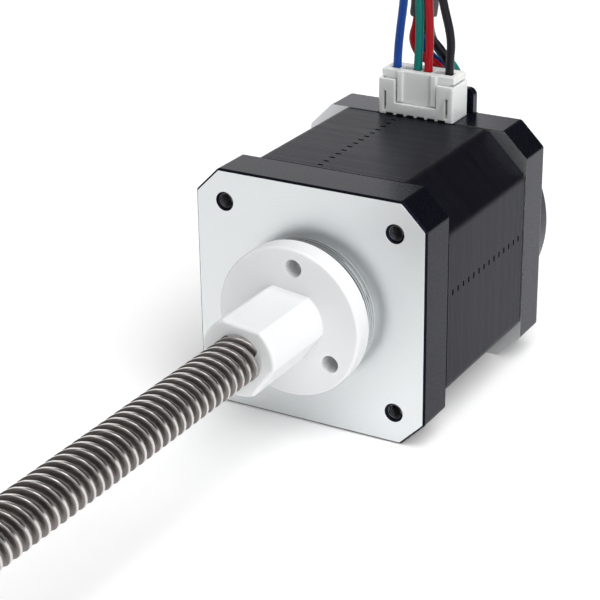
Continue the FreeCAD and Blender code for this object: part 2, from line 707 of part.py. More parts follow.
def make_preload_washer():
    """Conical washer that pushes the rear bearing's outer ring forward."""
    washer = Piece("preload_washer")
    front = REAR_BEARING + S.bearing_width
    outer = SEAT_RADIUS - S.part_gap
    inner = BALL_CIRCLE + S.part_gap * 2
    washer.turn(polygon([
        (outer, front),
        (outer, front + S.washer_thickness),
        (inner, WASHER_SEAT),
        (inner, WASHER_SEAT - S.washer_thickness),
    ]))


def thread_section(crest, root):
    """The thread cut straight across: a third of each start is crest, a third is root, the rest is flanks."""
    start = 360 / THREAD_STARTS
    half = start / 6
    arcs = []
    for k in range(THREAD_STARTS):
        top = THREAD_TURN + start * k
        floor = top + start / 2
        arcs += [(crest, (top - half, top + half)), (root, (floor - half, floor + half))]
    return arc_outline(arcs)


def make_lead_screw():
    """Multi-start lead screw, turned down behind the face to the motor shaft."""
    screw = Piece("lead_screw")
    tip = -S.screw_length
    crest, shank = S.screw_diameter / 2, S.shank_diameter / 2
    collar = shank + S.shank_shoulder
    shoulder = FRONT_BEARING
    relief = shoulder - S.pilot_height / 2
    thread_end = relief - (crest - collar)
    bevel = S.screw_tip_bevel
    screw.wind(tip, thread_end, S.thread_pitch * THREAD_STARTS, thread_section(crest, crest - S.thread_depth))
    screw.turn_cut(polygon([(crest - bevel, tip), (crest + bevel, tip + bevel * 2), (crest + bevel, tip)]))
    screw.turn(polygon([
        (ZERO, thread_end), (crest, thread_end), (collar, relief), (collar, shoulder), (shank, shoulder),
        (shank, SHANK_END - bevel / 2), (shank - bevel / 2, SHANK_END), (ZERO, SHANK_END),
    ]))


def make_lead_nut():
    """Moulded nut: three-hole flange, barrel with three flats that clear the screw heads."""
    nut = Piece("lead_nut")
    bore = S.screw_diameter / 2 + S.thread_gap
    flange, barrel = S.nut_flange_diameter / 2, S.nut_barrel / 2
    edge, soft = S.nut_edge, S.nut_barrel_round
    nut.turn(polygon([
        (bore, NUT_REAR), (flange, NUT_REAR), (flange, NUT_FACE), (barrel, NUT_FACE),
        (barrel, NUT_END), (bore, NUT_END),
    ]))
    beside_flat = rectangle(-barrel, barrel, barrel - S.nut_flat_depth, barrel + soft)
    flat = nut.cut(ALONG_Y, NUT_END, NUT_FACE, beside_flat)
    nut.around(flat, 3)
    inside, rim = bore.value + 1e-3, barrel.value + 1e-3

    def out_from_axis(edge):
        return max(math.hypot(point.x, point.z) for point in edge.discretize(3))

    def on_barrel_end(edge):
        return lies_at(edge, NUT_END.value) and out_from_axis(edge) > inside

    def on_flange(edge):
        return any(lies_at(edge, y) for y in (NUT_REAR.value, NUT_FACE.value)) and out_from_axis(edge) > rim

    nut.dress_edges("Fillet", soft, on_barrel_end)
    nut.dress_edges("Fillet", edge, on_flange)
    hole = nut.cut(ALONG_Y, NUT_FACE, NUT_REAR, circle(S.nut_hole / 2, ZERO, flange - S.nut_hole_inset))
    nut.around(hole, 3)
    turn = FreeCAD.Rotation(FreeCAD.Vector(0, 1, 0), NUT_TURN)
    nut.body.Placement = FreeCAD.Placement(FreeCAD.Vector(), turn)


def make_tie_screws():
    """Four long socket screws from the rear cap through the stack into the front cap."""
    head_seat = CAP_REAR.value - S.tie_head_height.value - S.tie_head_sink.value
    head, shank = S.tie_head_diameter.value / 2, S.tie_shank.value / 2
    point = S.mount_depth.value + S.part_gap.value
    bevel = S.tap_bevel.value
    outline = [
        (0, point), (shank - bevel, point), (shank, point + bevel), (shank, head_seat), (head, head_seat),
        (head, head_seat + S.tie_head_height.value), (0, head_seat + S.tie_head_height.value), (0, point),
    ]
    face = Part.Face(Part.makePolygon([FreeCAD.Vector(r, y, 0) for r, y in outline]))
    screw = face.revolve(FreeCAD.Vector(), FreeCAD.Vector(0, 1, 0), 360)
    socket_radius = S.tie_socket.value / math.sqrt(3)
    top = head_seat + S.tie_head_height.value
    angles = [math.radians(60 * k) for k in range(7)]
    corners = [FreeCAD.Vector(socket_radius * math.cos(a), top, socket_radius * math.sin(a)) for a in angles]
    socket = Part.Face(Part.makePolygon(corners)).extrude(FreeCAD.Vector(0, -S.tie_head_height.value / 2, 0))
    screw = screw.cut(socket)
    half = BOLT_SPACING.value / 2
    places = [FreeCAD.Vector(half * across, 0, half * along) for across, along in CAP_CORNERS]
    loose_shape("tie_screws", Part.makeCompound([screw.translated(place) for place in places]))


def make_terminal_board():
    """Small board under the header, on the rear insulator's posts."""
    board = Piece("terminal_board")
    holes = [circle(S.pin_side - S.press_gap * 2, place, PIN_ROW) for place in pin_places()]
    outline = rectangle(-HEADER_HALF, HEADER_HALF, BOARD_FRONT, BOARD_REAR)
    board.add(ALONG_Z, BOARD_FOOT, HALF, outline, *holes)


def make_connector_header():
    """Shrouded header: open top, window and slits in the front wall, feet between the pins."""
    header = Piece("connector_header")
    half = HEADER_HALF
    wall = S.header_wall
    header.add(ALONG_Z, HALF, HEADER_TOP, rectangle(-half, half, HEADER_FRONT, HEADER_REAR))
    header.dress_edges("Fillet", S.header_round, runs_upright)
    room = rectangle(-(half - wall), half - wall, HEADER_FRONT + wall, HEADER_REAR - wall)
    header.cut(ALONG_Z, HALF + S.header_floor, HEADER_TOP, room)
    pins = [circle(S.pin_side - S.press_gap * 4, place, PIN_ROW) for place in pin_places()]
    header.cut(ALONG_Z, HALF, HALF + S.header_floor, *pins)
    sill = HALF + S.window_sill
    window = S.window_width / 2
    header.cut(ALONG_Y, HEADER_FRONT, HEADER_FRONT + wall, rectangle(-window, window, sill, HEADER_TOP))
    slit = S.slit_width / 2
    slit_foot = HALF + S.part_gap * 2
    slit_place = PIN_SPAN / 2 + S.slit_offset
    slits = [
        rectangle(place - slit, place + slit, slit_foot, slit_foot + S.slit_height)
        for place in (-slit_place, slit_place)
    ]
    header.cut(ALONG_Y, HEADER_FRONT, HEADER_FRONT + wall, *slits)
    notch = (S.pin_pitch - S.pin_side) / 2
    notches = [rectangle(place - notch, place + notch, HALF, HALF + S.part_gap) for place in pin_places()]
    header.cut(ALONG_Y, HEADER_FRONT, HEADER_REAR, *notches)


def make_plug_housing():
    """Plug in the header: six terminal cavities, a collar over the rim and two ribs in the window."""
    plug = Piece("plug_housing")
    half = HEADER_HALF - S.header_wall - S.part_gap
    front = HEADER_FRONT + S.header_wall + S.part_gap
    rear = HEADER_REAR - S.header_wall - S.part_gap
    foot = HALF + S.header_floor + S.part_gap
    plug.add(ALONG_Z, foot, PLUG_TOP, rectangle(-half, half, front, rear))
    collar_foot = PLUG_TOP - S.plug_collar
    overlap = S.header_wall
    collar = rectangle(-half - overlap, half + overlap, front, rear + overlap)
    plug.add(ALONG_Z, collar_foot, PLUG_TOP, collar)
    window = S.window_width / 2 - S.part_gap
    rib_foot = HALF + S.window_sill + S.part_gap
    for left in (-window, window - S.plug_rib):
        right = left + S.plug_rib
        plug.add(ALONG_Z, rib_foot, PLUG_TOP, rectangle(left, right, HEADER_FRONT + S.part_gap, front))
    cavities = [
        rectangle(place - PLUG_CAVITY, place + PLUG_CAVITY, PIN_ROW - PLUG_CAVITY, PIN_ROW + PLUG_CAVITY)
        for place in pin_places()
    ]
    plug.cut(ALONG_Z, foot, PLUG_TOP, *cavities)


def make_contacts():
    """Six header pins through the board, and crimp terminals where the plug has wires."""
    side = S.pin_side.value
    row = PIN_ROW.value
    foot = PIN_FOOT.value
    tall = CRIMP_FOOT.value + CRIMP_SOCKET.value - S.part_gap.value - foot
    places = [place.value for place in pin_places()]
    posts = [
        Part.makeBox(side, side, tall, FreeCAD.Vector(place - side / 2, row - side / 2, foot))
        for place in places
    ]
    loose_shape("connector_pins", Part.makeCompound(posts))
    outside = PLUG_CAVITY.value - S.press_gap.value * 2
    bore = side / math.sqrt(2) + S.press_gap.value * 3
    terminals = []
    for place, colour in zip(places, PIN_WIRES):
        if not colour:
            continue
        base = FreeCAD.Vector(place, row, CRIMP_FOOT.value)
        barrel = Part.makeCylinder(outside, S.crimp_length.value, base)
        terminals.append(barrel.cut(Part.makeCylinder(bore, CRIMP_SOCKET.value, base)))
    loose_shape("crimp_terminals", Part.makeCompound(terminals))


def behind_pins(across, behind, height):
    """A point of the lead; its second number is counted from the row of pins."""
    return FreeCAD.Vector(across, PIN_ROW.value + behind, height)


# The lead's route, chosen by hand. Each wire: up from its terminal, over in a loop, down through
# the sleeve, out of its lower end, over the rear cap and down behind it to the surface below.
SLEEVE_FOOT = behind_pins(-3.0, 6.0, 36.5)
SLEEVE_HEAD = behind_pins(-3.0, 9.3, 54.2)
WIRE_ROUTES = {
    "red": (
        (1.0, 0.0, 30.0), (1.3, -0.1, 34.5), (1.2, -0.6, 42.0), (0.9, -1.7, 50.5), (0.4, -2.2, 58.5),
        (-0.6, 0.6, 63.6), (-2.2, 6.0, 64.6), (-3.8, 9.74, 60.9), (-3.8, 4.98, 35.4), (-4.6, 4.7, 32.6),
        (-3.5, 5.9, 29.2), (-0.9, 7.4, 27.9), (-0.9, 10.6, 25.0), (-0.5, 13.7, 19.6),
        (-0.4, 14.6, 11.0), (-0.2, 14.6, 1.5), (-0.3, 14.5, -8.0), (-0.4, 16.4, -16.2),
        (-0.2, 23.4, -20.25), (-0.4, 31.0, -20.25),
    ),
    "black": (
        (5.0, 0.0, 30.5), (5.4, 0.0, 35.0), (3.7, -0.4, 41.5), (2.5, -1.4, 50.0), (2.0, -2.2, 58.5),
        (1.0, 0.6, 63.6), (-0.6, 6.0, 64.6), (-2.2, 9.74, 60.9), (-2.2, 4.98, 35.4), (-0.9, 4.8, 33.2),
        (0.9, 5.4, 31.2), (1.3, 7.3, 28.6), (1.0, 10.5, 25.0), (1.2, 13.8, 18.6), (1.2, 14.7, 10.0),
        (1.4, 14.6, 1.0), (1.3, 14.5, -8.0), (1.2, 16.4, -16.2), (1.4, 23.4, -20.25),
        (1.2, 31.0, -20.25),
    ),
    "blue": (
        (-5.0, 0.0, 30.0), (-4.6, -0.1, 34.5), (-3.4, -0.7, 41.5), (-2.1, -2.3, 50.4),
        (-1.6, -3.8, 58.9), (-2.2, -0.4, 65.0), (-3.1, 6.4, 66.3), (-3.8, 11.45, 61.3),
        (-3.8, 6.58, 35.1), (-4.2, 7.7, 31.4), (-3.6, 10.2, 28.4), (-1.7, 13.8, 25.0),
        (-0.4, 16.1, 18.2), (-0.4, 16.6, 9.5), (-0.2, 16.6, 1.5), (-0.3, 16.3, -7.5),
        (-0.4, 18.0, -14.6), (-0.2, 24.2, -18.65), (-0.4, 31.0, -18.65),
    ),
    "green": (
        (-1.0, 0.0, 30.0), (-0.65, -0.1, 34.5), (-0.45, -0.8, 42.0), (-0.5, -2.7, 50.6),
        (0.0, -3.8, 58.9), (-0.6, -0.4, 65.0), (-1.5, 6.4, 66.3), (-2.2, 11.45, 61.3),
        (-2.2, 6.58, 35.1), (-1.9, 7.9, 31.8), (-1.6, 10.2, 29.0), (0.2, 13.6, 25.6), (1.2, 16.1, 18.4),
        (1.2, 16.6, 9.5), (1.4, 16.6, 1.5), (1.3, 16.3, -7.5), (1.2, 18.0, -14.6), (1.4, 24.2, -18.65),
        (1.2, 31.0, -18.65),
    ),
}
COIL_CENTRE = behind_pins(-14.4, 37.0, 0.0)
FAR_HOUSING_X = -30.9
FAR_HOUSING_REAR = PIN_ROW + 21.0
TAIL_ROWS = {"blue": (0.8, -15.4), "red": (0.8, -17.15), "green": (-0.8, -15.4), "black": (-0.8, -17.15)}
TAIL_ORDER = ("black", "green", "blue", "red")
TAIL_START = 9.6
TAIL_MIDDLE = 4.8
TAIL_END = 2.0


def rounded_route(points):
    """Straight runs joined by tangent arcs as large as the runs allow; also the smallest radius."""
    edges = []
    radii = []
    start = points[0]
    for before, corner, after in zip(points, points[1:], points[2:]):
        arriving = corner - before
        leaving = after - corner
        turn = arriving.getAngle(leaving)
        trim = 0.45 * min(arriving.Length, leaving.Length)
        radii.append(trim / math.tan(turn / 2))
        arc_start = corner - arriving.normalize() * trim
        arc_end = corner + leaving.normalize() * trim
        bisector = (arc_start + arc_end) * 0.5 - corner
        to_centre = math.hypot(radii[-1], trim)
        middle = corner + bisector.normalize() * (to_centre - radii[-1])
        edges.append(Part.LineSegment(start, arc_start).toShape())
        edges.append(Part.Arc(arc_start, middle, arc_end).toShape())
        start = arc_end
    edges.append(Part.LineSegment(start, points[-1]).toShape())
    return Part.Wire(edges), min(radii)


def tube(label, points):
    """A round wire along the route, with its volume held against section times length."""
    path, tightest = rounded_route(points)
    radius = S.wire_diameter.value / 2
    along = (points[1] - points[0]).normalize()
    section = Part.Wire(Part.Circle(points[0], along, radius).toShape())
    shell = Part.BRepOffsetAPI.MakePipeShell(path)
    shell.add(section)
    shell.build()
    shell.makeSolid()
    solid = shell.shape()
    expected = math.pi * radius ** 2 * path.Length
    print(f"{label}: {path.Length:.1f} mm, tightest radius {tightest:.2f} mm, "
          f"volume {solid.Volume / expected:.4f} of section times length")
    return solid


def make_lead():
    """Four wires, their sleeve, the wound-up rest, its band and the far housing."""
    places = [place.value for place in pin_places()]
    for place, colour in zip(places, PIN_WIRES):
        if not colour:
            continue
        start = FreeCAD.Vector(place, PIN_ROW.value, CRIMP_TOP.value)
        route = [start] + [behind_pins(*point) for point in WIRE_ROUTES[colour]]
        across, height = TAIL_ROWS[colour]
        socket = FAR_HOUSING_X + (TAIL_ORDER.index(colour) - 1.5) * S.far_housing_pitch.value
        floor = -HALF.value + S.far_housing_height.value / 2
        leaving = FAR_HOUSING_X + across
        mouth = FAR_HOUSING_REAR.value
        tail = [
            FreeCAD.Vector(leaving, mouth + TAIL_START, height),
            FreeCAD.Vector(leaving * 0.4 + socket * 0.6, mouth + TAIL_MIDDLE, height * 0.7 + floor * 0.3),
            FreeCAD.Vector(socket, mouth + TAIL_END, floor),
            FreeCAD.Vector(socket, mouth, floor),
        ]
        solids = [tube(colour + " wire", route), tube(colour + " tail", tail)]
        loose_shape(colour + "_wire", Part.makeCompound(solids))
    along = SLEEVE_HEAD - SLEEVE_FOOT
    outer = Part.makeCylinder(S.sleeve_diameter.value / 2, along.Length, SLEEVE_FOOT, along)
    bore = S.sleeve_diameter.value / 2 - S.sleeve_wall.value
    inner = Part.makeCylinder(bore, along.Length, SLEEVE_FOOT, along)
    loose_shape("heat_shrink_sleeve", outer.cut(inner))
    floor = FreeCAD.Vector(COIL_CENTRE.x, COIL_CENTRE.y, -HALF.value)
    half = S.coil_section.value / 2
    height = S.coil_section.value
    wound = Part.makeCylinder(S.coil_radius.value + half, height, floor)
    wound = wound.cut(Part.makeCylinder(S.coil_radius.value - half, height, floor))
    wound = wound.makeFillet(half / 2, [edge for edge in wound.Edges if edge.isClosed()])
    loose_shape("wire_coil", wound)
    make_coil_tie(half)
    make_far_housing()


def make_coil_tie(half):
    """A flat band round the wound-up lead, at its far side."""
    gap = S.part_gap.value / 3
    thick = S.part_gap.value * 2
    width = S.tie_band.value
    middle = COIL_CENTRE.y + S.coil_radius.value
    low = -HALF.value
    inner = Part.makeBox(
        width, 2 * (half + gap), 2 * half + gap * 2,
        FreeCAD.Vector(COIL_CENTRE.x - width / 2, middle - half - gap, low - gap))
    outer = Part.makeBox(
        width, 2 * (half + gap + thick), 2 * half + gap + thick,
        FreeCAD.Vector(COIL_CENTRE.x - width / 2, middle - half - gap - thick, low))
    loose_shape("coil_tie", outer.cut(inner))


def make_far_housing():
    """Four-way crimp housing at the lead's end, lying on the surface below."""
    housing = Piece("far_end_housing")
    pitch = S.far_housing_pitch
    half = pitch * 2
    rear = FAR_HOUSING_REAR
    front = rear - S.far_housing_length
    middle = sized(FAR_HOUSING_X)
    outline = rectangle(middle - half, middle + half, front, rear)
    housing.add(ALONG_Z, -HALF, -HALF + S.far_housing_height, outline)
    height = -HALF + S.far_housing_height / 2
    side = pitch * 0.3
    ways = [
        rectangle(place - side, place + side, height - side, height + side)
        for place in (middle + pitch * (k - 1.5) for k in range(len(TAIL_ORDER)))
    ]
    housing.cut(ALONG_Y, front, front + S.far_housing_length / 2, *ways)


def write_parts():
    """Checks every object of the document and every sub-part, then writes the files."""
    DOC.recompute()
    for item in DOC.Objects:
        if {"Invalid", "Error"} & set(item.State):
            raise RuntimeError(f"{item.Label} failed: {item.State}")
    for piece in PIECES:
        if piece.Shape.isNull() or not piece.Shape.isValid():
            raise RuntimeError(f"{piece.Label} has no valid shape")
    os.makedirs("parts", exist_ok=True)
    for piece in PIECES:
        piece.Shape.exportStep(f"parts/{piece.Label}.step")
        print(f"{piece.Label}: {len(piece.Shape.Solids)} solids, {piece.Shape.Volume:.1f} mm3")


make_front_end_cap()
make_rear_end_cap()
make_stator_core()
make_insulators()
make_windings()
make_rotor()
make_bearing("front", FRONT_BEARING)
make_bearing("rear", REAR_BEARING)
make_preload_washer()
make_lead_screw()
make_lead_nut()
make_tie_screws()
make_terminal_board()
make_connector_header()
make_plug_housing()
make_contacts()
make_lead()
write_parts()
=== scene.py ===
"""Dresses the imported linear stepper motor: lead, thread, laminations, finishes and studio."""
import logging
import math
from dataclasses import dataclass
from enum import Enum
from typing import Any, Iterable, Sequence

import bmesh
import bpy
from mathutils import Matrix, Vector


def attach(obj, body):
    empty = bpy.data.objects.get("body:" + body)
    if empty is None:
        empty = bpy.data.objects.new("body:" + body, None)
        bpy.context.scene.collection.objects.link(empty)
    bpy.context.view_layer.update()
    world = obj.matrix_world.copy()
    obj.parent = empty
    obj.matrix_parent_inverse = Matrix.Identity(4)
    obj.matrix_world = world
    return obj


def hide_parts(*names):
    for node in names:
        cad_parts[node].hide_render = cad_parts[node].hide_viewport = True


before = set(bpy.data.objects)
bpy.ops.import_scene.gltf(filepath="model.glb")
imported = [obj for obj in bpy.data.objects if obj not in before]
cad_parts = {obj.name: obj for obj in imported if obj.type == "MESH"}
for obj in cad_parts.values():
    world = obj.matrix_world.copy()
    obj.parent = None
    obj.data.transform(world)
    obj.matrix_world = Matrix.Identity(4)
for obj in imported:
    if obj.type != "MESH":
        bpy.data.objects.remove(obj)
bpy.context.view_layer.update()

LOG = logging.getLogger("linear_stepper")
MM = 0.001
# Corners of a mesh that are nearer than this, in metres, are one.
WELD = 1e-7
# Sizes in millimetres that a finish shares with its piece: the four-start thread, and the stack's front.
PITCH = 2.0
LEAD = 8.0
CREST_PLACE = -25.0
STACK_FRONT = 7.8
# A Mix node's sockets go by number, because its sets for numbers and for colours share their names.
SHARE, NUMBER_A, NUMBER_B = 0, 2, 3
TONE_A, TONE_B, MIXED_TONE = 6, 7, 2
Point = tuple[float, float, float]
Socket = bpy.types.NodeSocket


class Body(Enum):
    """The bodies that pieces ride on."""

    MOTOR = "motor"
    ROTOR = "rotor"
    NUT = "nut"


class Colour(Enum):
    """The lead's four wires."""

    RED = "red"
    BLACK = "black"
    BLUE = "blue"
    GREEN = "green"


class Lay(Enum):
    """How the fine lines of a metal surface run."""

    TURNED = "rings about the screw's axis"
    DRAWN = "streaks along the screw's axis"


# Helpers


@dataclass(frozen=True)
class Graph:
    """A node tree while it is being built."""

    tree: bpy.types.NodeTree

    def add(
            self, kind: str, inputs: dict | Sequence = (), out: int | str = 0,
            **settings: Any) -> Socket | None:
        """Adds a node with its settings, values and links.

        Args:
            kind: Blender's name of the node type.
            inputs: Socket name or number to a value or to another node's output; a sequence counts from 0.
            out: Name or number of the output that is wanted.
            settings: Attributes of the node.

        Returns:
            The wanted output, or nothing where the node has none.
        """
        node = self.tree.nodes.new(kind)
        for name, value in settings.items():
            setattr(node, name, value)
        pairs = inputs.items() if isinstance(inputs, dict) else enumerate(inputs)
        for name, value in pairs:
            if isinstance(value, Socket):
                self.tree.links.new(value, node.inputs[name])
            else:
                node.inputs[name].default_value = value
        return node.outputs[out] if len(node.outputs) else None


def linear(hex_colour: str) -> tuple[float, float, float, float]:
    """Turns an sRGB hex colour to linear RGBA.

    Args:
        hex_colour: Six hex digits.

    Returns:
        Linear red, green, blue and full alpha.
    """
    channels = [int(hex_colour[start:start + 2], 16) / 255 for start in (0, 2, 4)]
    straight = [tone / 12.92 if tone <= 0.04045 else ((tone + 0.055) / 1.055) ** 2.4 for tone in channels]
    return straight[0], straight[1], straight[2], 1.0


def metres(points: Iterable[Point]) -> list[Vector]:
    """Turns points in millimetres to vectors in metres."""
    return [Vector(point) * MM for point in points]


def new_piece(name: str, data: bpy.types.ID) -> bpy.types.Object:
    """Puts a mesh, curve, lamp or camera into the scene as an object at the origin.

    Args:
        name: Name of the object.
        data: What the object shows.

    Returns:
        The new object.
    """
    made = bpy.data.objects.new(name, data)
    bpy.context.scene.collection.objects.link(made)
    return made


def mesh_from(
        name: str, shape: bmesh.types.BMesh, finish: "Finish", crisp: float = 35.0) -> bpy.types.Mesh:
    """Turns a bmesh into a smooth-shaded mesh with one finish.

    Args:
        name: Name of the mesh.
        shape: Finished shape in metres, freed here.
        finish: What its only material slot gets.
        crisp: Angle in degrees from which an edge is shown sharp.

    Returns:
        The new mesh.
    """
    made = bpy.data.meshes.new(name)
    shape.to_mesh(made)
    shape.free()
    made.materials.append(finish.material())
    made.shade_smooth()
    made.set_sharp_from_angle(angle=math.radians(crisp))
    return made


def new_tree(name: str, inputs: dict[str, str]) -> tuple[Graph, dict[str, Socket]]:
    """Starts a Geometry Nodes tree with a geometry output.

    Args:
        name: Name of the tree.
        inputs: Input name to socket kind.

    Returns:
        The tree's graph, and its input sockets by name.
    """
    tree = bpy.data.node_groups.new(name, "GeometryNodeTree")
    for label, kind in inputs.items():
        tree.interface.new_socket(label, in_out="INPUT", socket_type="NodeSocket" + kind)
    tree.interface.new_socket("Result", in_out="OUTPUT", socket_type="NodeSocketGeometry")
    source = tree.nodes.new("NodeGroupInput")
    return Graph(tree), {label: source.outputs[label] for label in inputs}


def close_tree(graph: Graph, geometry: Socket, material: Socket) -> None:
    """Ends a tree: instances made real, material set, result out.

    Args:
        graph: The tree's graph.
        geometry: What the tree has made.
        material: The tree's material input.
    """
    real = graph.add("GeometryNodeRealizeInstances", (geometry,))
    dressed = graph.add("GeometryNodeSetMaterial", {"Geometry": real, "Material": material})
    graph.add("NodeGroupOutput", {"Result": dressed})


def grown(
        name: str, graph: Graph, values: dict[str, Any],
        base: bpy.types.Mesh | None = None) -> bpy.types.Mesh:
    """Runs a Geometry Nodes tree and keeps its result as a plain mesh.

    Args:
        name: Name of the result.
        graph: The tree to run.
        values: Input name to value.
        base: Mesh that the tree starts from, where it needs one.

    Returns:
        The plain mesh, with the tree's material.
    """
    holder = new_piece(name + "_source", base or bpy.data.meshes.new(name + "_source"))
    modifier = holder.modifiers.new("grow", "NODES")
    modifier.node_group = graph.tree
    for item in graph.tree.interface.items_tree:
        if item.in_out == "INPUT" and item.name in values:
            modifier[item.identifier] = values[item.name]
    evaluated = holder.evaluated_get(bpy.context.evaluated_depsgraph_get())
    made = bpy.data.meshes.new_from_object(evaluated)
    made.name = name
    holder.modifiers.remove(modifier)
    bpy.data.objects.remove(holder)
    return made


def settle(piece: bpy.types.Object, body: Body, slot: str, *nodes: str) -> None:
    """Puts a finished piece on its body.

    Args:
        piece: Finished piece at the origin.
        body: Body that carries it.
        slot: Name of a material slot; not used.
        nodes: CAD nodes that it stands for.
    """
    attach(piece, body.value)
    if nodes:
        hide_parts(*nodes)
    LOG.info("%s on %s", piece.name, body.value)


def dress(node: str, finish: "Finish") -> None:
    """Gives a CAD node that stays in view its finish.

    Args:
        node: Name of the node.
        finish: What all its material slots get.
    """
    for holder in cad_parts[node].material_slots:
        holder.material = finish.material()
    LOG.info("%s dressed in %s", node, finish.name)


# Finishes


@dataclass(frozen=True)
class Finish:
    """A surface: the material's name, its two tones, its plain shader values and how its pattern marks it.

    The gloss spreads below and above the roughness, and bump is the strength of marks of the given depth.
    """

    name: str
    colour: str
    roughness: float
    metallic: float = 0.0
    ior: float = 1.5
    shade: str = "000000"
    spread: tuple[float, float] = (0.06, 0.06)
    bump: float = 0.5
    depth_mm: float = 0.006

    def material(self) -> bpy.types.Material:
        """Makes the material the first time it is asked for.

        Returns:
            The material, new or made before.
        """
        found = bpy.data.materials.get(self.name)
        if found:
            return found
        made = bpy.data.materials.new(self.name)
        made.use_nodes = True
        made.diffuse_color = linear(self.colour)
        shader = made.node_tree.nodes["Principled BSDF"]
        for socket, value in self.constants().items():
            shader.inputs[socket].default_value = value
        graph = Graph(made.node_tree)
        place = graph.add("ShaderNodeTexCoord", out="Object")
        for socket, source in self.looks(graph, place).items():
            made.node_tree.links.new(source, shader.inputs[socket])
        return made

    def constants(self) -> dict[str, Any]:
        """Gives the shader's plain values; a metal keeps the default IOR."""
        plain = {"Base Color": linear(self.colour), "Roughness": self.roughness, "Metallic": self.metallic}
        return plain if self.metallic else plain | {"IOR": self.ior}

    def looks(self, graph: Graph, place: Socket) -> dict[str, Socket]:
        """Gives what the plain values leave out; each way of making a surface has its own.

        Args:
            graph: The material's graph.
            place: Object coordinates.

        Returns:
            Shader socket name to the pattern that feeds it.
        """
        raise NotImplementedError

    def surface(self, graph: Graph, pattern: Socket, height: Socket) -> dict[str, Socket]:
        """Lays a pattern into tone and gloss, and marks the surface.

        Args:
            graph: The material's graph.
            pattern: What blends the two tones and spreads the gloss.
            height: What marks the surface.

        Returns:
            Shader socket name to what feeds it, for colour, gloss and height.
        """
        tones = {SHARE: pattern, TONE_A: linear(self.colour), TONE_B: linear(self.shade)}
        low, high = self.roughness - self.spread[0], self.roughness + self.spread[1]
        gloss = {"Value": pattern, "To Min": low, "To Max": high}
        marks = {"Strength": self.bump, "Distance": self.depth_mm * MM, "Height": height}
        return {
            "Base Color": graph.add("ShaderNodeMix", tones, MIXED_TONE, data_type="RGBA"),
            "Roughness": graph.add("ShaderNodeMapRange", gloss),
            "Normal": graph.add("ShaderNodeBump", marks)}


@dataclass(frozen=True)
class Moulded(Finish):
    """Injection-moulded or extruded plastic: a smooth skin with soft clouds of tone and a faint grain.

    The real grain is too fine to show, so it is drawn as coarse as it needs to be.
    """

    cloud_mm: float = 6.0
    grain_mm: float = 0.25
    glow: float = 0.0
    glow_mm: float = 0.6
    lit: float = 0.0

    def constants(self) -> dict[str, Any]:
        """Adds the light that sinks into pale plastic, and the lamp behind a lit sheet.

        Returns:
            Shader socket name to plain value.
        """
        plain = super().constants()
        if self.lit:
            plain |= {"Emission Color": linear(self.colour), "Emission Strength": self.lit}
        if self.glow:
            plain |= {
                "Subsurface Weight": self.glow, "Subsurface Radius": (1.0, 0.9, 0.8),
                "Subsurface Scale": self.glow_mm * MM}
        return plain

    def looks(self, graph: Graph, place: Socket) -> dict[str, Socket]:
        """Clouds tone and gloss, and gives the skin its grain.

        Args:
            graph: The material's graph.
            place: Object coordinates.

        Returns:
            Shader socket name to the pattern that feeds it.
        """
        cloud_size = {"Vector": place, "Scale": 1 / (self.cloud_mm * MM), "Detail": 3.0}
        clouds = graph.add("ShaderNodeTexNoise", cloud_size)
        grain_size = {"Vector": place, "Scale": 1 / (self.grain_mm * MM), "Detail": 2.0}
        grain = graph.add("ShaderNodeTexNoise", grain_size)
        return self.surface(graph, clouds, grain)


@dataclass(frozen=True)
class CutMetal(Finish):
    """Turned, ground or drawn metal: fine lines left by the tool, in tone, gloss and height.

    Real lines are mostly too fine to show, so they are drawn as coarse as they need to be.
    """

    metallic: float = 1.0
    spread: tuple[float, float] = (0.08, 0.08)
    bump: float = 0.6
    depth_mm: float = 0.004
    line_mm: float = 0.12
    lay: Lay = Lay.TURNED
    drawn_radius_mm: float = 2.5
    drawn_share: float = 0.02

    def radius(self, graph: Graph, place: Socket) -> Socket:
        """Gives the distance from the screw's axis."""
        flat = graph.add("ShaderNodeVectorMath", (place, (1.0, 0.0, 1.0)), operation="MULTIPLY")
        return graph.add("ShaderNodeVectorMath", (flat,), "Value", operation="LENGTH")

    def lines(self, graph: Graph, place: Socket) -> Socket:
        """Gives noise drawn out along the tool's path.

        Args:
            graph: The material's graph.
            place: Object coordinates.

        Returns:
            The lines, from 0 to 1.
        """
        across, along, up = graph.add("ShaderNodeSeparateXYZ", (place,)).node.outputs
        if self.lay is Lay.TURNED:
            path = graph.add("ShaderNodeCombineXYZ", (self.radius(graph, place), along))
        else:
            turn = graph.add("ShaderNodeMath", (up, across), operation="ARCTAN2")
            arc = (turn, self.drawn_radius_mm * MM)
            around = graph.add("ShaderNodeMath", arc, operation="MULTIPLY")
            drawn = graph.add("ShaderNodeMath", (along, self.drawn_share), operation="MULTIPLY")
            path = graph.add("ShaderNodeCombineXYZ", (around, drawn))
        size = {"Vector": path, "Scale": 1 / (self.line_mm * MM), "Detail": 2.0}
        return graph.add("ShaderNodeTexNoise", size)

    def looks(self, graph: Graph, place: Socket) -> dict[str, Socket]:
        """Lays the lines into colour, gloss and height.

        Args:
            graph: The material's graph.
            place: Object coordinates.

        Returns:
            Shader socket name to the pattern that feeds it.
        """
        lines = self.lines(graph, place)
        return self.surface(graph, lines, lines)


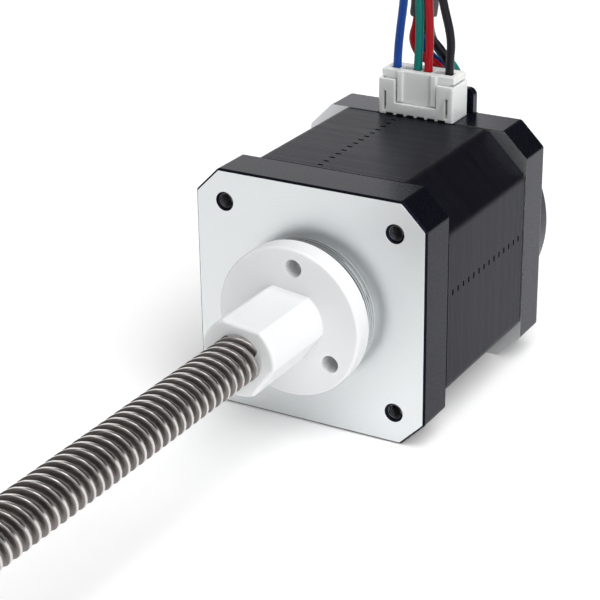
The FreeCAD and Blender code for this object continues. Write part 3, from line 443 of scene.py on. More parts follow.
@dataclass(frozen=True)
class CoatedCasting(CutMetal):
    """Die-cast aluminium in satin black, bare and bright where a face was machined afterwards.

    The bare stretches are given along the screw's axis, in millimetres.
    """

    spread: tuple[float, float] = (0.05, 0.05)
    bump: float = 0.4
    coat: str = "0a0b10"
    coat_shade: str = "0f1017"
    coat_sheen: str = "9498e4"
    coat_gloss: float = 0.28
    coat_roughness: float = 0.27
    coat_spread: float = 0.02
    grain_mm: float = 0.5
    peel: float = 0.1
    bare: tuple[tuple[float, float], ...] = ()
    turned_front: float = -0.05
    turned_roughness: float = 0.16
    turned_feed: float = 9.0
    turned_mm: float = 0.55
    # Tone and strength of the dark bands painted on the turned ring as reflections.
    painted_reflection_tone: str = "4c4e52"
    painted_reflection_strength: float = 0.7

    def constants(self) -> dict[str, Any]:
        """Adds the coat's weak gloss."""
        return super().constants() | {"Specular IOR Level": self.coat_gloss}

    def bared(self, graph: Graph, along: Socket) -> Socket:
        """Gives 1 in the bare stretches along the axis and 0 elsewhere.

        Args:
            graph: The material's graph.
            along: Place along the screw's axis.

        Returns:
            The mask of bare metal.
        """
        mask = None
        for low, high in self.bare:
            stretch = (along, (low + high) / 2 * MM, (high - low) / 2 * MM)
            here = graph.add("ShaderNodeMath", stretch, operation="COMPARE")
            mask = here if mask is None else graph.add("ShaderNodeMath", (mask, here), operation="MAXIMUM")
        return mask

    def looks(self, graph: Graph, place: Socket) -> dict[str, Socket]:
        """Bare metal in the machined stretches, black coat everywhere else.

        Args:
            graph: The material's graph.
            place: Object coordinates.

        Returns:
            Shader socket name to the pattern that feeds it.
        """
        along = graph.add("ShaderNodeSeparateXYZ", (place,), "Y")
        mask = self.bared(graph, along)
        lines = self.lines(graph, place)
        grain_size = {"Vector": place, "Scale": 1 / (self.grain_mm * MM), "Detail": 0.0}
        grain = graph.add("ShaderNodeTexNoise", grain_size)
        # The register ring in front of the face is turned: brighter, with deeper lines, and with darker
        # bands painted in as reflections of the shaded gap behind the nut's flange.
        ring = graph.add("ShaderNodeMath", (along, self.turned_front * MM), operation="LESS_THAN")
        orange_peel = graph.add("ShaderNodeMath", (grain, self.peel), operation="MULTIPLY")
        feed = graph.add("ShaderNodeMath", (ring, self.turned_feed, 1.0), operation="MULTIPLY_ADD")
        cut = graph.add("ShaderNodeMath", (lines, feed), operation="MULTIPLY")
        relief = graph.add("ShaderNodeMix", {SHARE: mask, NUMBER_A: orange_peel, NUMBER_B: cut})
        faced = self.surface(graph, lines, relief)
        # Dark bands along the turned ring: painted reflection of the shaded gap behind the nut's flange.
        feed_turn = (along, 2 * math.pi / (self.turned_mm * MM))
        wave = graph.add("ShaderNodeMath", feed_turn, operation="MULTIPLY")
        band = graph.add("ShaderNodeMath", (wave,), operation="SINE")
        dip = graph.add("ShaderNodeMapRange", {"Value": band, "To Max": self.painted_reflection_strength})
        shadow = graph.add("ShaderNodeMath", (dip, ring), operation="MULTIPLY")
        turned_tones = {SHARE: shadow, TONE_A: faced["Base Color"], TONE_B: linear(self.painted_reflection_tone)}
        metal = graph.add("ShaderNodeMix", turned_tones, MIXED_TONE, data_type="RGBA")
        coat_tones = {SHARE: grain, TONE_A: linear(self.coat), TONE_B: linear(self.coat_shade)}
        coat = graph.add("ShaderNodeMix", coat_tones, MIXED_TONE, data_type="RGBA")
        machined = {SHARE: ring, NUMBER_A: faced["Roughness"], NUMBER_B: self.turned_roughness}
        low, high = self.coat_roughness - self.coat_spread, self.coat_roughness + self.coat_spread
        satin = graph.add("ShaderNodeMapRange", {"Value": grain, "To Min": low, "To Max": high})
        gloss = {SHARE: mask, NUMBER_A: satin, NUMBER_B: graph.add("ShaderNodeMix", machined)}
        sheen = {SHARE: mask, TONE_A: linear(self.coat_sheen), TONE_B: linear("ffffff")}
        tones = {SHARE: mask, TONE_A: coat, TONE_B: metal}
        return {
            "Base Color": graph.add("ShaderNodeMix", tones, MIXED_TONE, data_type="RGBA"),
            "Metallic": mask,
            "Specular Tint": graph.add("ShaderNodeMix", sheen, MIXED_TONE, data_type="RGBA"),
            "Roughness": graph.add("ShaderNodeMix", gloss),
            "Normal": faced["Normal"]}


@dataclass(frozen=True)
class RolledThread(CutMetal):
    """Rolled steel thread: a bright highlight painted along each crest, oily grey-brown grooves."""

    bump: float = 0.4
    groove: str = "56504e"
    groove_shade: str = "918b88"
    groove_roughness: float = 0.4
    pitch_mm: float = PITCH
    lead_mm: float = LEAD
    crest_place_mm: float = CREST_PLACE
    # Where the painted crest highlight is full and where it has faded, measured from the crest's middle.
    bright_mm: float = 0.13
    dull_mm: float = 0.34
    wander_mm: float = 0.16
    highlight_radius_mm: float = 3.5
    stain_mm: float = 2.5

    def looks(self, graph: Graph, place: Socket) -> dict[str, Socket]:
        """A painted highlight along the middle of each crest, dark in the grooves, with stains.

        Args:
            graph: The material's graph.
            place: Object coordinates.

        Returns:
            Shader socket name to the pattern that feeds it.
        """
        stain_size = {"Vector": place, "Scale": 1 / (self.stain_mm * MM), "Detail": 4.0}
        stain = graph.add("ShaderNodeTexNoise", stain_size)
        across, along, up = graph.add("ShaderNodeSeparateXYZ", (place,)).node.outputs
        turn = graph.add("ShaderNodeMath", (up, across), operation="ARCTAN2")
        advance = self.lead_mm * MM / (2 * math.pi)
        wound = graph.add("ShaderNodeMath", (turn, advance, along), operation="MULTIPLY_ADD")
        phase = graph.add("ShaderNodeMath", (wound, self.crest_place_mm * MM), operation="SUBTRACT")
        half = self.pitch_mm / 2 * MM
        folded = graph.add("ShaderNodeMath", (phase, half, -half), operation="WRAP")
        offset = graph.add("ShaderNodeMath", (folded,), operation="ABSOLUTE")
        # The bright line's edges wander with the stains, as far one way as the other.
        sway = (stain, self.wander_mm * MM, offset)
        wander = graph.add("ShaderNodeMath", sway, operation="MULTIPLY_ADD")
        middle = graph.add("ShaderNodeMath", (wander, self.wander_mm / 2 * MM), operation="SUBTRACT")
        fall = {
            "Value": middle, "From Min": self.bright_mm * MM, "From Max": self.dull_mm * MM,
            "To Min": 1.0, "To Max": 0.0}
        line = graph.add("ShaderNodeMapRange", fall)
        # The painted highlight goes only on what stands as high as the crests, which leaves out the screw's
        # end face.
        high = (self.radius(graph, place), self.highlight_radius_mm * MM)
        at_crest_height = graph.add("ShaderNodeMath", high, operation="GREATER_THAN")
        crest_highlight = graph.add("ShaderNodeMath", (line, at_crest_height), operation="MULTIPLY")
        lines = self.lines(graph, place)
        bright_tones = {SHARE: lines, TONE_A: linear(self.colour), TONE_B: linear(self.shade)}
        bright = graph.add("ShaderNodeMix", bright_tones, MIXED_TONE, data_type="RGBA")
        dark_tones = {SHARE: stain, TONE_A: linear(self.groove), TONE_B: linear(self.groove_shade)}
        dark = graph.add("ShaderNodeMix", dark_tones, MIXED_TONE, data_type="RGBA")
        tones = {SHARE: crest_highlight, TONE_A: dark, TONE_B: bright}
        gloss = {"Value": crest_highlight, "To Min": self.groove_roughness, "To Max": self.roughness}
        cut = {"Strength": self.bump, "Distance": self.depth_mm * MM, "Height": lines}
        return {
            "Base Color": graph.add("ShaderNodeMix", tones, MIXED_TONE, data_type="RGBA"),
            "Roughness": graph.add("ShaderNodeMapRange", gloss),
            "Normal": graph.add("ShaderNodeBump", cut)}


@dataclass(frozen=True)
class StackEdge(Finish):
    """Blackened edges of punched sheets: every sheet a little different in tone and gloss."""

    shade: str = "17171d"
    spread: tuple[float, float] = (0.06, 0.1)
    bump: float = 0.4
    depth_mm: float = 0.01
    sheen: str = "9ea2e0"
    # A hair less than the sheets' spacing, so that both faces of a sheet count as the same sheet.
    sheet_mm: float = 0.5016
    first_mm: float = STACK_FRONT
    streak: float = 0.15
    broken: float = 0.6

    def constants(self) -> dict[str, Any]:
        """Adds the bluish cast of the blackened edges' shine."""
        return super().constants() | {"Specular Tint": linear(self.sheen)}

    def looks(self, graph: Graph, place: Socket) -> dict[str, Socket]:
        """One tone and one gloss for each sheet, broken into short streaks by the punch.

        Args:
            graph: The material's graph.
            place: Object coordinates.

        Returns:
            Shader socket name to the pattern that feeds it.
        """
        along = graph.add("ShaderNodeSeparateXYZ", (place,), "Y")
        depth = graph.add("ShaderNodeMath", (along, self.first_mm * MM), operation="SUBTRACT")
        count = graph.add("ShaderNodeMath", (depth, self.sheet_mm * MM), operation="DIVIDE")
        number = graph.add("ShaderNodeMath", (count,), operation="FLOOR")
        sheet = graph.add("ShaderNodeTexWhiteNoise", {"W": number}, "Value", noise_dimensions="1D")
        drawn = (place, (self.streak, 1.0, self.streak))
        along_sheet = graph.add("ShaderNodeVectorMath", drawn, operation="MULTIPLY")
        grain_size = {"Vector": along_sheet, "Scale": 1 / (self.sheet_mm * MM), "Detail": 3.0}
        grain = graph.add("ShaderNodeTexNoise", grain_size)
        mixed = graph.add("ShaderNodeMix", {SHARE: self.broken, NUMBER_A: sheet, NUMBER_B: grain})
        return self.surface(graph, mixed, grain)


# Milled and turned aluminium is bright and almost white under soft light, with hardly visible rings.
# The coat round it is a thin satin black with a bluish shine that keeps the casting's grain.
FRONT_CAP = CoatedCasting(
    "die_cast_aluminium_satin_black_faced", "e1e4e5", 0.36, shade="d5d8d9",
    line_mm=0.2, depth_mm=0.003, bare=((-4.0, 0.02), (7.799, 7.82)), coat_gloss=0.13)
REAR_CAP = CoatedCasting(
    "die_cast_aluminium_satin_black", "d9dadb", 0.4, shade="c6c7c9",
    line_mm=0.2, depth_mm=0.003, bare=((38.38, 38.401),))
# A tap leaves bare grey metal in the screw holes.
TAPPED = CutMetal("aluminium_tapped_thread", "8c8d90", 0.3, shade="717275", line_mm=0.2)
# Punched silicon steel with its edges blackened: dark, half dull, a new tone every half millimetre.
STACK = StackEdge("blackened_silicon_steel_punched_edges", "08080d", 0.38, ior=1.26)
# Rolled and oiled steel: silvery crests with a painted highlight along each, grey-brown grooves.
THREAD = RolledThread(
    "rolled_steel_oiled_thread", "dedcda", 0.26, shade="c6c3c0", line_mm=0.15, lay=Lay.DRAWN)
# Ground steel keeps rings that are too fine to see one by one and blur its reflections a little.
SHAFT = CutMetal("ground_steel_shaft", "b9b8b6", 0.24, shade="a5a4a2", line_mm=0.1)
BEARING = CutMetal("ground_bearing_steel", "c8c8ca", 0.16, shade="b8b8bb", line_mm=0.08)
# Pressed sheet has soft, uneven reflections.
SPRING = CutMetal("pressed_spring_steel", "8e8e92", 0.35, shade="7c7c80", line_mm=0.3)
CAGE = CutMetal("pressed_brass_cage", "c9a962", 0.32, shade="b3934f", line_mm=0.3)
# A ground stack of sheets is grey with clear rings; a sintered magnet is darker and duller.
ROTOR_SHEETS = CutMetal("ground_silicon_steel_stack", "8b8b8e", 0.34, shade="6f6f73", line_mm=0.5)
MAGNET = CutMetal("sintered_magnet_ground", "5c5c60", 0.5, shade="48484b", line_mm=0.6)
# Enamelled wire shows as glossy copper rows.
WINDING = CutMetal("enamelled_copper_wire_wound", "b4612e", 0.28, shade="8a4520", line_mm=0.35)
# Tin plate is pale, warm and softly bright.
TIN = CutMetal("tin_plated_contact", "c6c4be", 0.28, shade="b2b0aa", line_mm=0.2)
# Black oxide on steel is a thin dark skin with a soft metallic sheen.
BLACK_SCREW = CutMetal("black_oxide_steel_screw", "2b2b2e", 0.4, shade="1e1e21", line_mm=0.2)
# Natural white acetal is milky: light sinks in a little, edges glow, the moulded skin is silky.
ACETAL = Moulded(
    "white_acetal_moulded", "e8e9ea", 0.38, ior=1.48, shade="e0e1e2", cloud_mm=9.0, glow=0.25, glow_mm=0.8)
# Unfilled nylon of plug and header: greyish ivory, slightly see-through, fairly glossy.
IVORY = Moulded(
    "ivory_nylon_moulded", "e7e9e8", 0.33, ior=1.53, shade="dcdfde", cloud_mm=5.0, glow=0.7, glow_mm=0.9)
INSULATOR = Moulded("nylon_insulator_moulded", "d8d4c6", 0.45, ior=1.53, shade="cbc6b6")
# Black nylon and the black board are nearly without tone; only their half-dull shine shows the shape.
FAR_HOUSING = Moulded(
    "black_nylon_housing_moulded", "1a1a1b", 0.42, ior=1.53, shade="242425", cloud_mm=3.0)
BOARD = Moulded(
    "black_glass_fibre_board", "1a1c1b", 0.45, shade="222524", cloud_mm=1.2, grain_mm=0.5)
TIE = Moulded("nylon_tie_moulded", "e6e6e1", 0.4, ior=1.53, shade="dadad4", cloud_mm=3.0, glow=0.2)
# Extruded PVC: saturated, smooth, with a soft shine along the wire.
WIRE = {
    colour: Moulded(colour.value + "_pvc_extruded", tone, 0.34, ior=ior, shade=shade, cloud_mm=8.0)
    for colour, tone, shade, ior in (
        (Colour.RED, "b00418", "9c0313", 1.3), (Colour.BLACK, "0b0812", "100d18", 1.34),
        (Colour.BLUE, "16489e", "123e8b", 1.3), (Colour.GREEN, "007a72", "006c65", 1.3))}
# Shrunk polyolefin: matt black with fine wrinkles round it.
SLEEVE = Moulded(
    "polyolefin_heat_shrunk", "232327", 0.55, ior=1.5, shade="2c2c30", cloud_mm=2.0, grain_mm=0.4,
    depth_mm=0.03)
# A product table's white acrylic sheet, faintly lit from below, so that shadows stay pale.
FLOOR = Moulded(
    "white_acrylic_table_lit", "ffffff", 0.9, shade="fdfdfd", cloud_mm=200.0, grain_mm=1.0, lit=0.14)


# Sub-assemblies


@dataclass
class Studio:
    """Camera at the photograph's angle, a pale floor, soft lights and a cove that darkens behind."""

    lens: float = 109.73
    sensor: float = 36.0
    # The camera's place in metres, and its turn about X, Y and Z in degrees.
    location: Point = (0.1343, -0.2350, 0.1201)
    turn: Point = (66.2875, 0.7817, 29.7035)
    floor_height: float = -21.0
    floor_reach: float = 4.0
    lights: tuple[tuple[str, Point, float, float], ...] = (
        ("top_softbox", (0.4, -0.1, 1.1), 1.0, 11.0),
        ("right_softbox", (1.15, -0.5, 0.7), 1.2, 9.0),
        ("back_softbox", (-0.82, 0.94, 0.5), 0.9, 3.0))
    aim: Point = (0.0, 0.01, 0.0)
    dark_side: Point = (0.5, 0.85, 0.0)
    cove: tuple[tuple[float, float], ...] = ((0.45, 0.32), (0.95, 0.03))

    def build(self) -> None:
        """Sets camera, floor, lights and surroundings."""
        self.camera()
        self.floor()
        for softbox in self.lights:
            self.light(*softbox)
        self.surroundings()
        bpy.context.scene.view_settings.view_transform = "Standard"

    def surroundings(self) -> None:
        """Makes the cove: grey in front and overhead, dark behind the motor's right."""
        world = bpy.data.worlds.new("white_cove")
        world.use_nodes = True
        graph = Graph(world.node_tree)
        toward = graph.add("ShaderNodeTexCoord", out="Generated")
        aside = (toward, self.dark_side)
        depth = graph.add("ShaderNodeVectorMath", aside, "Value", operation="DOT_PRODUCT")
        share = graph.add("ShaderNodeMapRange", {"Value": depth, "From Min": -1.0, "From Max": 1.0})
        tone = graph.add("ShaderNodeValToRGB", (share,))
        for step, (place, grey) in zip(tone.node.color_ramp.elements, self.cove):
            step.position = place
            step.color = (grey, grey, grey, 1.0)
        world.node_tree.links.new(tone, world.node_tree.nodes["Background"].inputs["Color"])
        bpy.context.scene.world = world

    def camera(self) -> None:
        """Places the camera."""
        data = bpy.data.cameras.new("photo_camera")
        data.sensor_fit = "HORIZONTAL"
        data.sensor_width = self.sensor
        data.lens = self.lens
        data.clip_start = 0.01
        eye = new_piece("photo_camera", data)
        eye.location = self.location
        eye.rotation_euler = [math.radians(angle) for angle in self.turn]
        bpy.context.scene.camera = eye

    def floor(self) -> None:
        """Lays a wide pale floor under the motor."""
        shape = bmesh.new()
        bmesh.ops.create_grid(shape, x_segments=2, y_segments=2, size=self.floor_reach)
        bmesh.ops.translate(shape, verts=shape.verts, vec=(0, 0, self.floor_height * MM))
        new_piece("floor", mesh_from("floor", shape, FLOOR))

    def light(self, name: str, place: Point, size: float, power: float) -> None:
        """Hangs a soft square light that faces the motor.

        Args:
            name: Name of the light.
            place: Where it hangs, in metres.
            size: Side of its square, in metres.
            power: Strength in watts.
        """
        data = bpy.data.lights.new(name, "AREA")
        data.size = size
        data.energy = power
        lamp = new_piece(name, data)
        lamp.location = place
        toward = Vector(self.aim) - Vector(place)
        lamp.rotation_euler = toward.to_track_quat("-Z", "Y").to_euler()


@dataclass
class Lead:
    """Four wires from the plug, their sleeve, the tied coil behind the motor and the far housing."""

    diameter: float = 1.5
    length: float = 490.0
    pin_row: float = 41.0
    crimp_top: float = 26.4
    coil_centre: tuple[float, float] = (-14.4, 78.0)
    outer_turn: float = 16.5
    inner_turn: float = 13.3
    lower_turn: float = -19.45
    upper_turn: float = -16.25
    half_spacing: float = 0.8
    points_per_turn: int = 16
    # Degrees along the coil, and where its wires change to the other lane, row and lane again.
    coil_angle: float = 1260.0
    inward_at: float = 250.0
    rise_at: float = 610.0
    outward_at: float = 970.0
    change_angle: float = 70.0
    housing: tuple[float, float, float] = (-30.9, 62.0, -19.5)
    housing_pitch: float = 2.54
    # Steps from the coil to the housing's mouth, and how far the middle one has come across and down.
    tail_reach: Point = (9.6, 4.8, 2.0)
    tail_swing: float = 0.6
    tail_drop: float = 0.3
    sleeve_foot: float = 36.5
    sleeve_head: float = 54.2
    sleeve_radius: float = 2.45
    sleeve_wall: float = 0.45
    sleeve_sides: int = 40
    sleeve_rings: int = 25
    # The sleeve's wires come down behind this place; its lobes, wrinkles and ragged ends follow.
    falling_behind: float = 45.0
    lip: float = 0.12
    lobe: float = 0.16
    lobe_room: float = 0.12
    long_wrinkle: float = 0.035
    short_wrinkle: float = 0.02
    long_turn: float = 1.9
    short_turn: float = 3.7
    wrinkle_sway: float = 2.3
    ragged: float = 0.25

    STARTS = {Colour.BLUE: -5.0, Colour.GREEN: -1.0, Colour.RED: 1.0, Colour.BLACK: 5.0}
    # The route's points; two more on the sleeve's stretch hold each wire straight there.
    ROUTES = {
        Colour.RED: (
            (1.0, 41.0, 30.0), (1.3, 40.9, 34.5), (1.2, 40.4, 42.0), (0.9, 39.3, 50.5), (0.4, 38.8, 58.5),
            (-0.6, 41.6, 63.6), (-2.2, 47.0, 64.6), (-3.8, 50.74, 60.9), (-3.8, 49.73, 55.49),
            (-3.8, 46.52, 38.28), (-3.8, 45.98, 35.4), (-4.6, 45.7, 32.6), (-3.5, 46.9, 29.2),
            (-0.9, 48.4, 27.9), (-0.9, 51.6, 25.0), (-0.5, 54.7, 19.6), (-0.4, 55.6, 11.0),
            (-0.2, 55.6, 1.5), (-0.3, 55.5, -8.0), (-0.4, 57.4, -16.2), (-0.2, 64.4, -20.25),
            (-0.4, 72.0, -20.25)),
        Colour.BLACK: (
            (5.0, 41.0, 30.5), (5.4, 41.0, 35.0), (3.7, 40.6, 41.5), (2.5, 39.6, 50.0), (2.0, 38.8, 58.5),
            (1.0, 41.6, 63.6), (-0.6, 47.0, 64.6), (-2.2, 50.74, 60.9), (-2.2, 49.73, 55.49),
            (-2.2, 46.45, 37.92), (-2.2, 45.98, 35.4), (-0.9, 45.8, 33.2), (0.9, 46.4, 31.2),
            (1.3, 48.3, 28.6), (1.0, 51.5, 25.0), (1.2, 54.8, 18.6), (1.2, 55.7, 10.0),
            (1.4, 55.6, 1.0), (1.3, 55.5, -8.0), (1.2, 57.4, -16.2), (1.4, 64.4, -20.25),
            (1.2, 72.0, -20.25)),
        Colour.BLUE: (
            (-5.0, 41.0, 30.0), (-4.6, 40.9, 34.5), (-3.4, 40.3, 41.5), (-2.1, 38.7, 50.4),
            (-1.6, 37.2, 58.9), (-2.2, 40.6, 65.0), (-3.1, 47.4, 66.3), (-3.8, 52.45, 61.3),
            (-3.8, 51.14, 54.27), (-3.8, 48.29, 38.91), (-3.8, 47.58, 35.1), (-4.2, 48.7, 31.4),
            (-3.6, 51.2, 28.4), (-1.7, 54.8, 25.0), (-0.4, 57.1, 18.2), (-0.4, 57.6, 9.5),
            (-0.2, 57.6, 1.5), (-0.3, 57.3, -7.5), (-0.4, 59.0, -14.6), (-0.2, 65.2, -18.65),
            (-0.4, 72.0, -18.65)),
        Colour.GREEN: (
            (-1.0, 41.0, 30.0), (-0.65, 40.9, 34.5), (-0.45, 40.2, 42.0), (-0.5, 38.3, 50.6),
            (0.0, 37.2, 58.9), (-0.6, 40.6, 65.0), (-1.5, 47.4, 66.3), (-2.2, 52.45, 61.3),
            (-2.2, 51.15, 54.3), (-2.2, 48.23, 38.61), (-2.2, 47.58, 35.1), (-1.9, 48.9, 31.8),
            (-1.6, 51.2, 29.0), (0.2, 54.6, 25.6), (1.2, 57.1, 18.4), (1.2, 57.6, 9.5),
            (1.4, 57.6, 1.5), (1.3, 57.3, -7.5), (1.2, 59.0, -14.6), (1.4, 65.2, -18.65),
            (1.2, 72.0, -18.65)),
    }
    # Inner or outer lane and lower or upper row of each wire in the coil; ways of the far housing.
    LANES = {Colour.RED: (-1, -1), Colour.BLACK: (1, -1), Colour.BLUE: (-1, 1), Colour.GREEN: (1, 1)}
    WAYS = (Colour.BLACK, Colour.GREEN, Colour.BLUE, Colour.RED)

    def build(self) -> None:
        """Makes the wires and their sleeve, and dresses band and housing."""
        wires = {colour: self.wire(colour) for colour in Colour}
        sleeve = self.sleeve(list(wires.values()))
        settle(sleeve, Body.MOTOR, "heat_shrink", "heat_shrink_sleeve")
        dress("coil_tie", TIE)
        dress("far_end_housing", FAR_HOUSING)
        for colour, wire in wires.items():
            nodes = [colour.value + "_wire"] + (["wire_coil"] if colour is Colour.BLACK else [])
            settle(wire, Body.MOTOR, colour.value + "_pvc", *nodes)

    def start(self, colour: Colour) -> Vector:
        """Gives the top of the wire's crimp."""
        return Vector((self.STARTS[colour], self.pin_row, self.crimp_top))

    def changed(self, angle: float, start: float) -> float:
        """Gives how far a change of lane or row that begins at a start angle has gone, from 0 to 1."""
        return min(max((angle - start) / self.change_angle, 0), 1)

    def turns(self, colour: Colour) -> list[Point]:
        """Gives the coil's points: two lower turns, outer then inner, and one and a half above.

        Args:
            colour: Which wire.

        Returns:
            Points in millimetres, in the wire's order.
        """
        lane, row = self.LANES[colour]
        step = 360 / self.points_per_turn
        out = 1 / math.cos(math.radians(step / 2))
        points = []
        for number in range(int(self.coil_angle / step) + 1):
            angle = number * step
            inward = self.changed(angle, self.inward_at) - self.changed(angle, self.outward_at)
            rise = self.changed(angle, self.rise_at)
            middle = self.outer_turn + (self.inner_turn - self.outer_turn) * inward
            reach = (middle + lane * self.half_spacing) * out
            level = self.lower_turn + (self.upper_turn - self.lower_turn) * rise
            x = self.coil_centre[0] + reach * math.cos(math.radians(angle))
            y = self.coil_centre[1] + reach * math.sin(math.radians(angle))
            points.append((x, y, level + row * self.half_spacing))
        return points

    def tail(self, colour: Colour) -> list[Point]:
        """Gives the points from the coil to the wire's way in the far housing.

        Args:
            colour: Which wire.

        Returns:
            Points in millimetres, the last one in the housing's mouth.
        """
        lane, row = self.LANES[colour]
        middle, mouth, floor = self.housing
        far, near, last = self.tail_reach
        swing, drop = self.tail_swing, self.tail_drop
        way = middle + (self.WAYS.index(colour) - (len(self.WAYS) - 1) / 2) * self.housing_pitch
        leaving = middle - lane * self.half_spacing
        height = self.upper_turn + row * self.half_spacing
        return [
            (leaving, mouth + far, height),
            (leaving * (1 - swing) + way * swing, mouth + near, height * (1 - drop) + floor * drop),
            (way, mouth + last, floor), (way, mouth, floor)]

    def wire(self, colour: Colour) -> bpy.types.Object:
        """Makes one wire as a round NURBS curve.

        Args:
            colour: Which wire.

        Returns:
            The curve object.
        """
        points = metres([self.start(colour), *self.ROUTES[colour], *self.turns(colour), *self.tail(colour)])
        data = bpy.data.curves.new(colour.value + "_lead_wire", "CURVE")
        data.dimensions = "3D"
        data.resolution_u = 6
        spline = data.splines.new("NURBS")
        spline.points.add(len(points) - 1)
        for slot, point in zip(spline.points, points):
            slot.co = (*point, 1.0)
        spline.order_u = 3
        spline.use_endpoint_u = True
        data.bevel_depth = self.diameter / 2 * MM
        data.bevel_resolution = 3
        data.use_fill_caps = True
        data.materials.append(WIRE[colour].material())
        return new_piece(colour.value + "_lead_wire", data)

    def line(self, wire: bpy.types.Object) -> list[Vector]:
        """Reads the points of a wire's own smooth line.

        Args:
            wire: The wire's curve object.

        Returns:
            Points in metres, from the crimp on.
        """
        bare = wire.data.copy()
        bare.bevel_depth = 0.0
        holder = new_piece("bare_line", bare)
        evaluated = holder.evaluated_get(bpy.context.evaluated_depsgraph_get())
        mesh = bpy.data.meshes.new_from_object(evaluated)
        points = [vertex.co.copy() for vertex in mesh.vertices]
        bpy.data.objects.remove(holder)
        bpy.data.meshes.remove(mesh)
        bpy.data.curves.remove(bare)
        return points

    def sleeve(self, wires: Sequence[bpy.types.Object]) -> bpy.types.Object:
        """Shrinks a tube round the four wires where they come down together.

        Args:
            wires: The four wire curves.

        Returns:
            The sleeve.
        """
        lines = [self.line(wire) for wire in wires]
        drop = (self.sleeve_foot - self.sleeve_head) / (self.sleeve_rings - 1)
        centres = []
        for ring in range(self.sleeve_rings):
            height = (self.sleeve_head + drop * ring) * MM
            crossing = [self.crossing(line, height) for line in lines]
            centres.append(sum(crossing, Vector()) / len(crossing))
        return new_piece("heat_shrink_tube", self.tube(centres))

    def crossing(self, line: Sequence[Vector], height: float) -> Vector:
        """Finds where a wire's falling run, behind its rising one, passes a height.

        Args:
            line: Points of the wire's line, in metres.
            height: Height in metres.

        Returns:
            The point on the run.
        """
        for before, after in zip(line, line[1:]):
            if before.z >= height > after.z and before.y > self.falling_behind * MM:
                return before.lerp(after, (before.z - height) / (before.z - after.z))
        raise ValueError("no wire passes this height")

    def tube(self, centres: Sequence[Vector]) -> bpy.types.Mesh:
        """Makes the sleeve's wall round its middle line, four-lobed and a little wrinkled.

        Args:
            centres: Points of the middle line, in metres, from the top down.

        Returns:
            The closed wall.
        """
        shape = bmesh.new()
        sides = self.sleeve_sides
        along = (centres[-1] - centres[0]).normalized()
        across = Vector((1, 0, 0))
        aside = along.cross(across).normalized()
        last = len(centres) - 1
        outside = [(level, 0.0) for level in range(last + 1)]
        inside = [(level, self.sleeve_wall) for level in range(last, -1, -1)]
        rings = []
        for level, wall in outside + inside:
            lip = self.lip if level in (0, last) else 0.0
            ring = []
            for side in range(sides):
                turn = 2 * math.pi * side / sides
                lobes = self.lobe * math.cos(4 * turn + math.pi) - lip
                sway = self.wrinkle_sway * math.sin(turn)
                wrinkle = self.long_wrinkle * math.sin(self.long_turn * level + sway)
                wrinkle += self.short_wrinkle * math.sin(self.short_turn * level + turn)
                radius = self.sleeve_radius - self.lobe_room - wall + lobes * (1 - wall) + wrinkle
                edge = self.ragged * math.sin(turn * 2 + level) if lip else 0.0
                out = across * math.cos(turn) + aside * math.sin(turn)
                ring.append(shape.verts.new(centres[level] + (out * radius + along * edge) * MM))
            rings.append(ring)
        for low, high in zip(rings, rings[1:] + rings[:1]):
            for side in range(sides):
                onward = (side + 1) % sides
                shape.faces.new((low[side], low[onward], high[onward], high[side]))
        bmesh.ops.recalc_face_normals(shape, faces=shape.faces)
        return mesh_from("heat_shrink_tube", shape, SLEEVE)


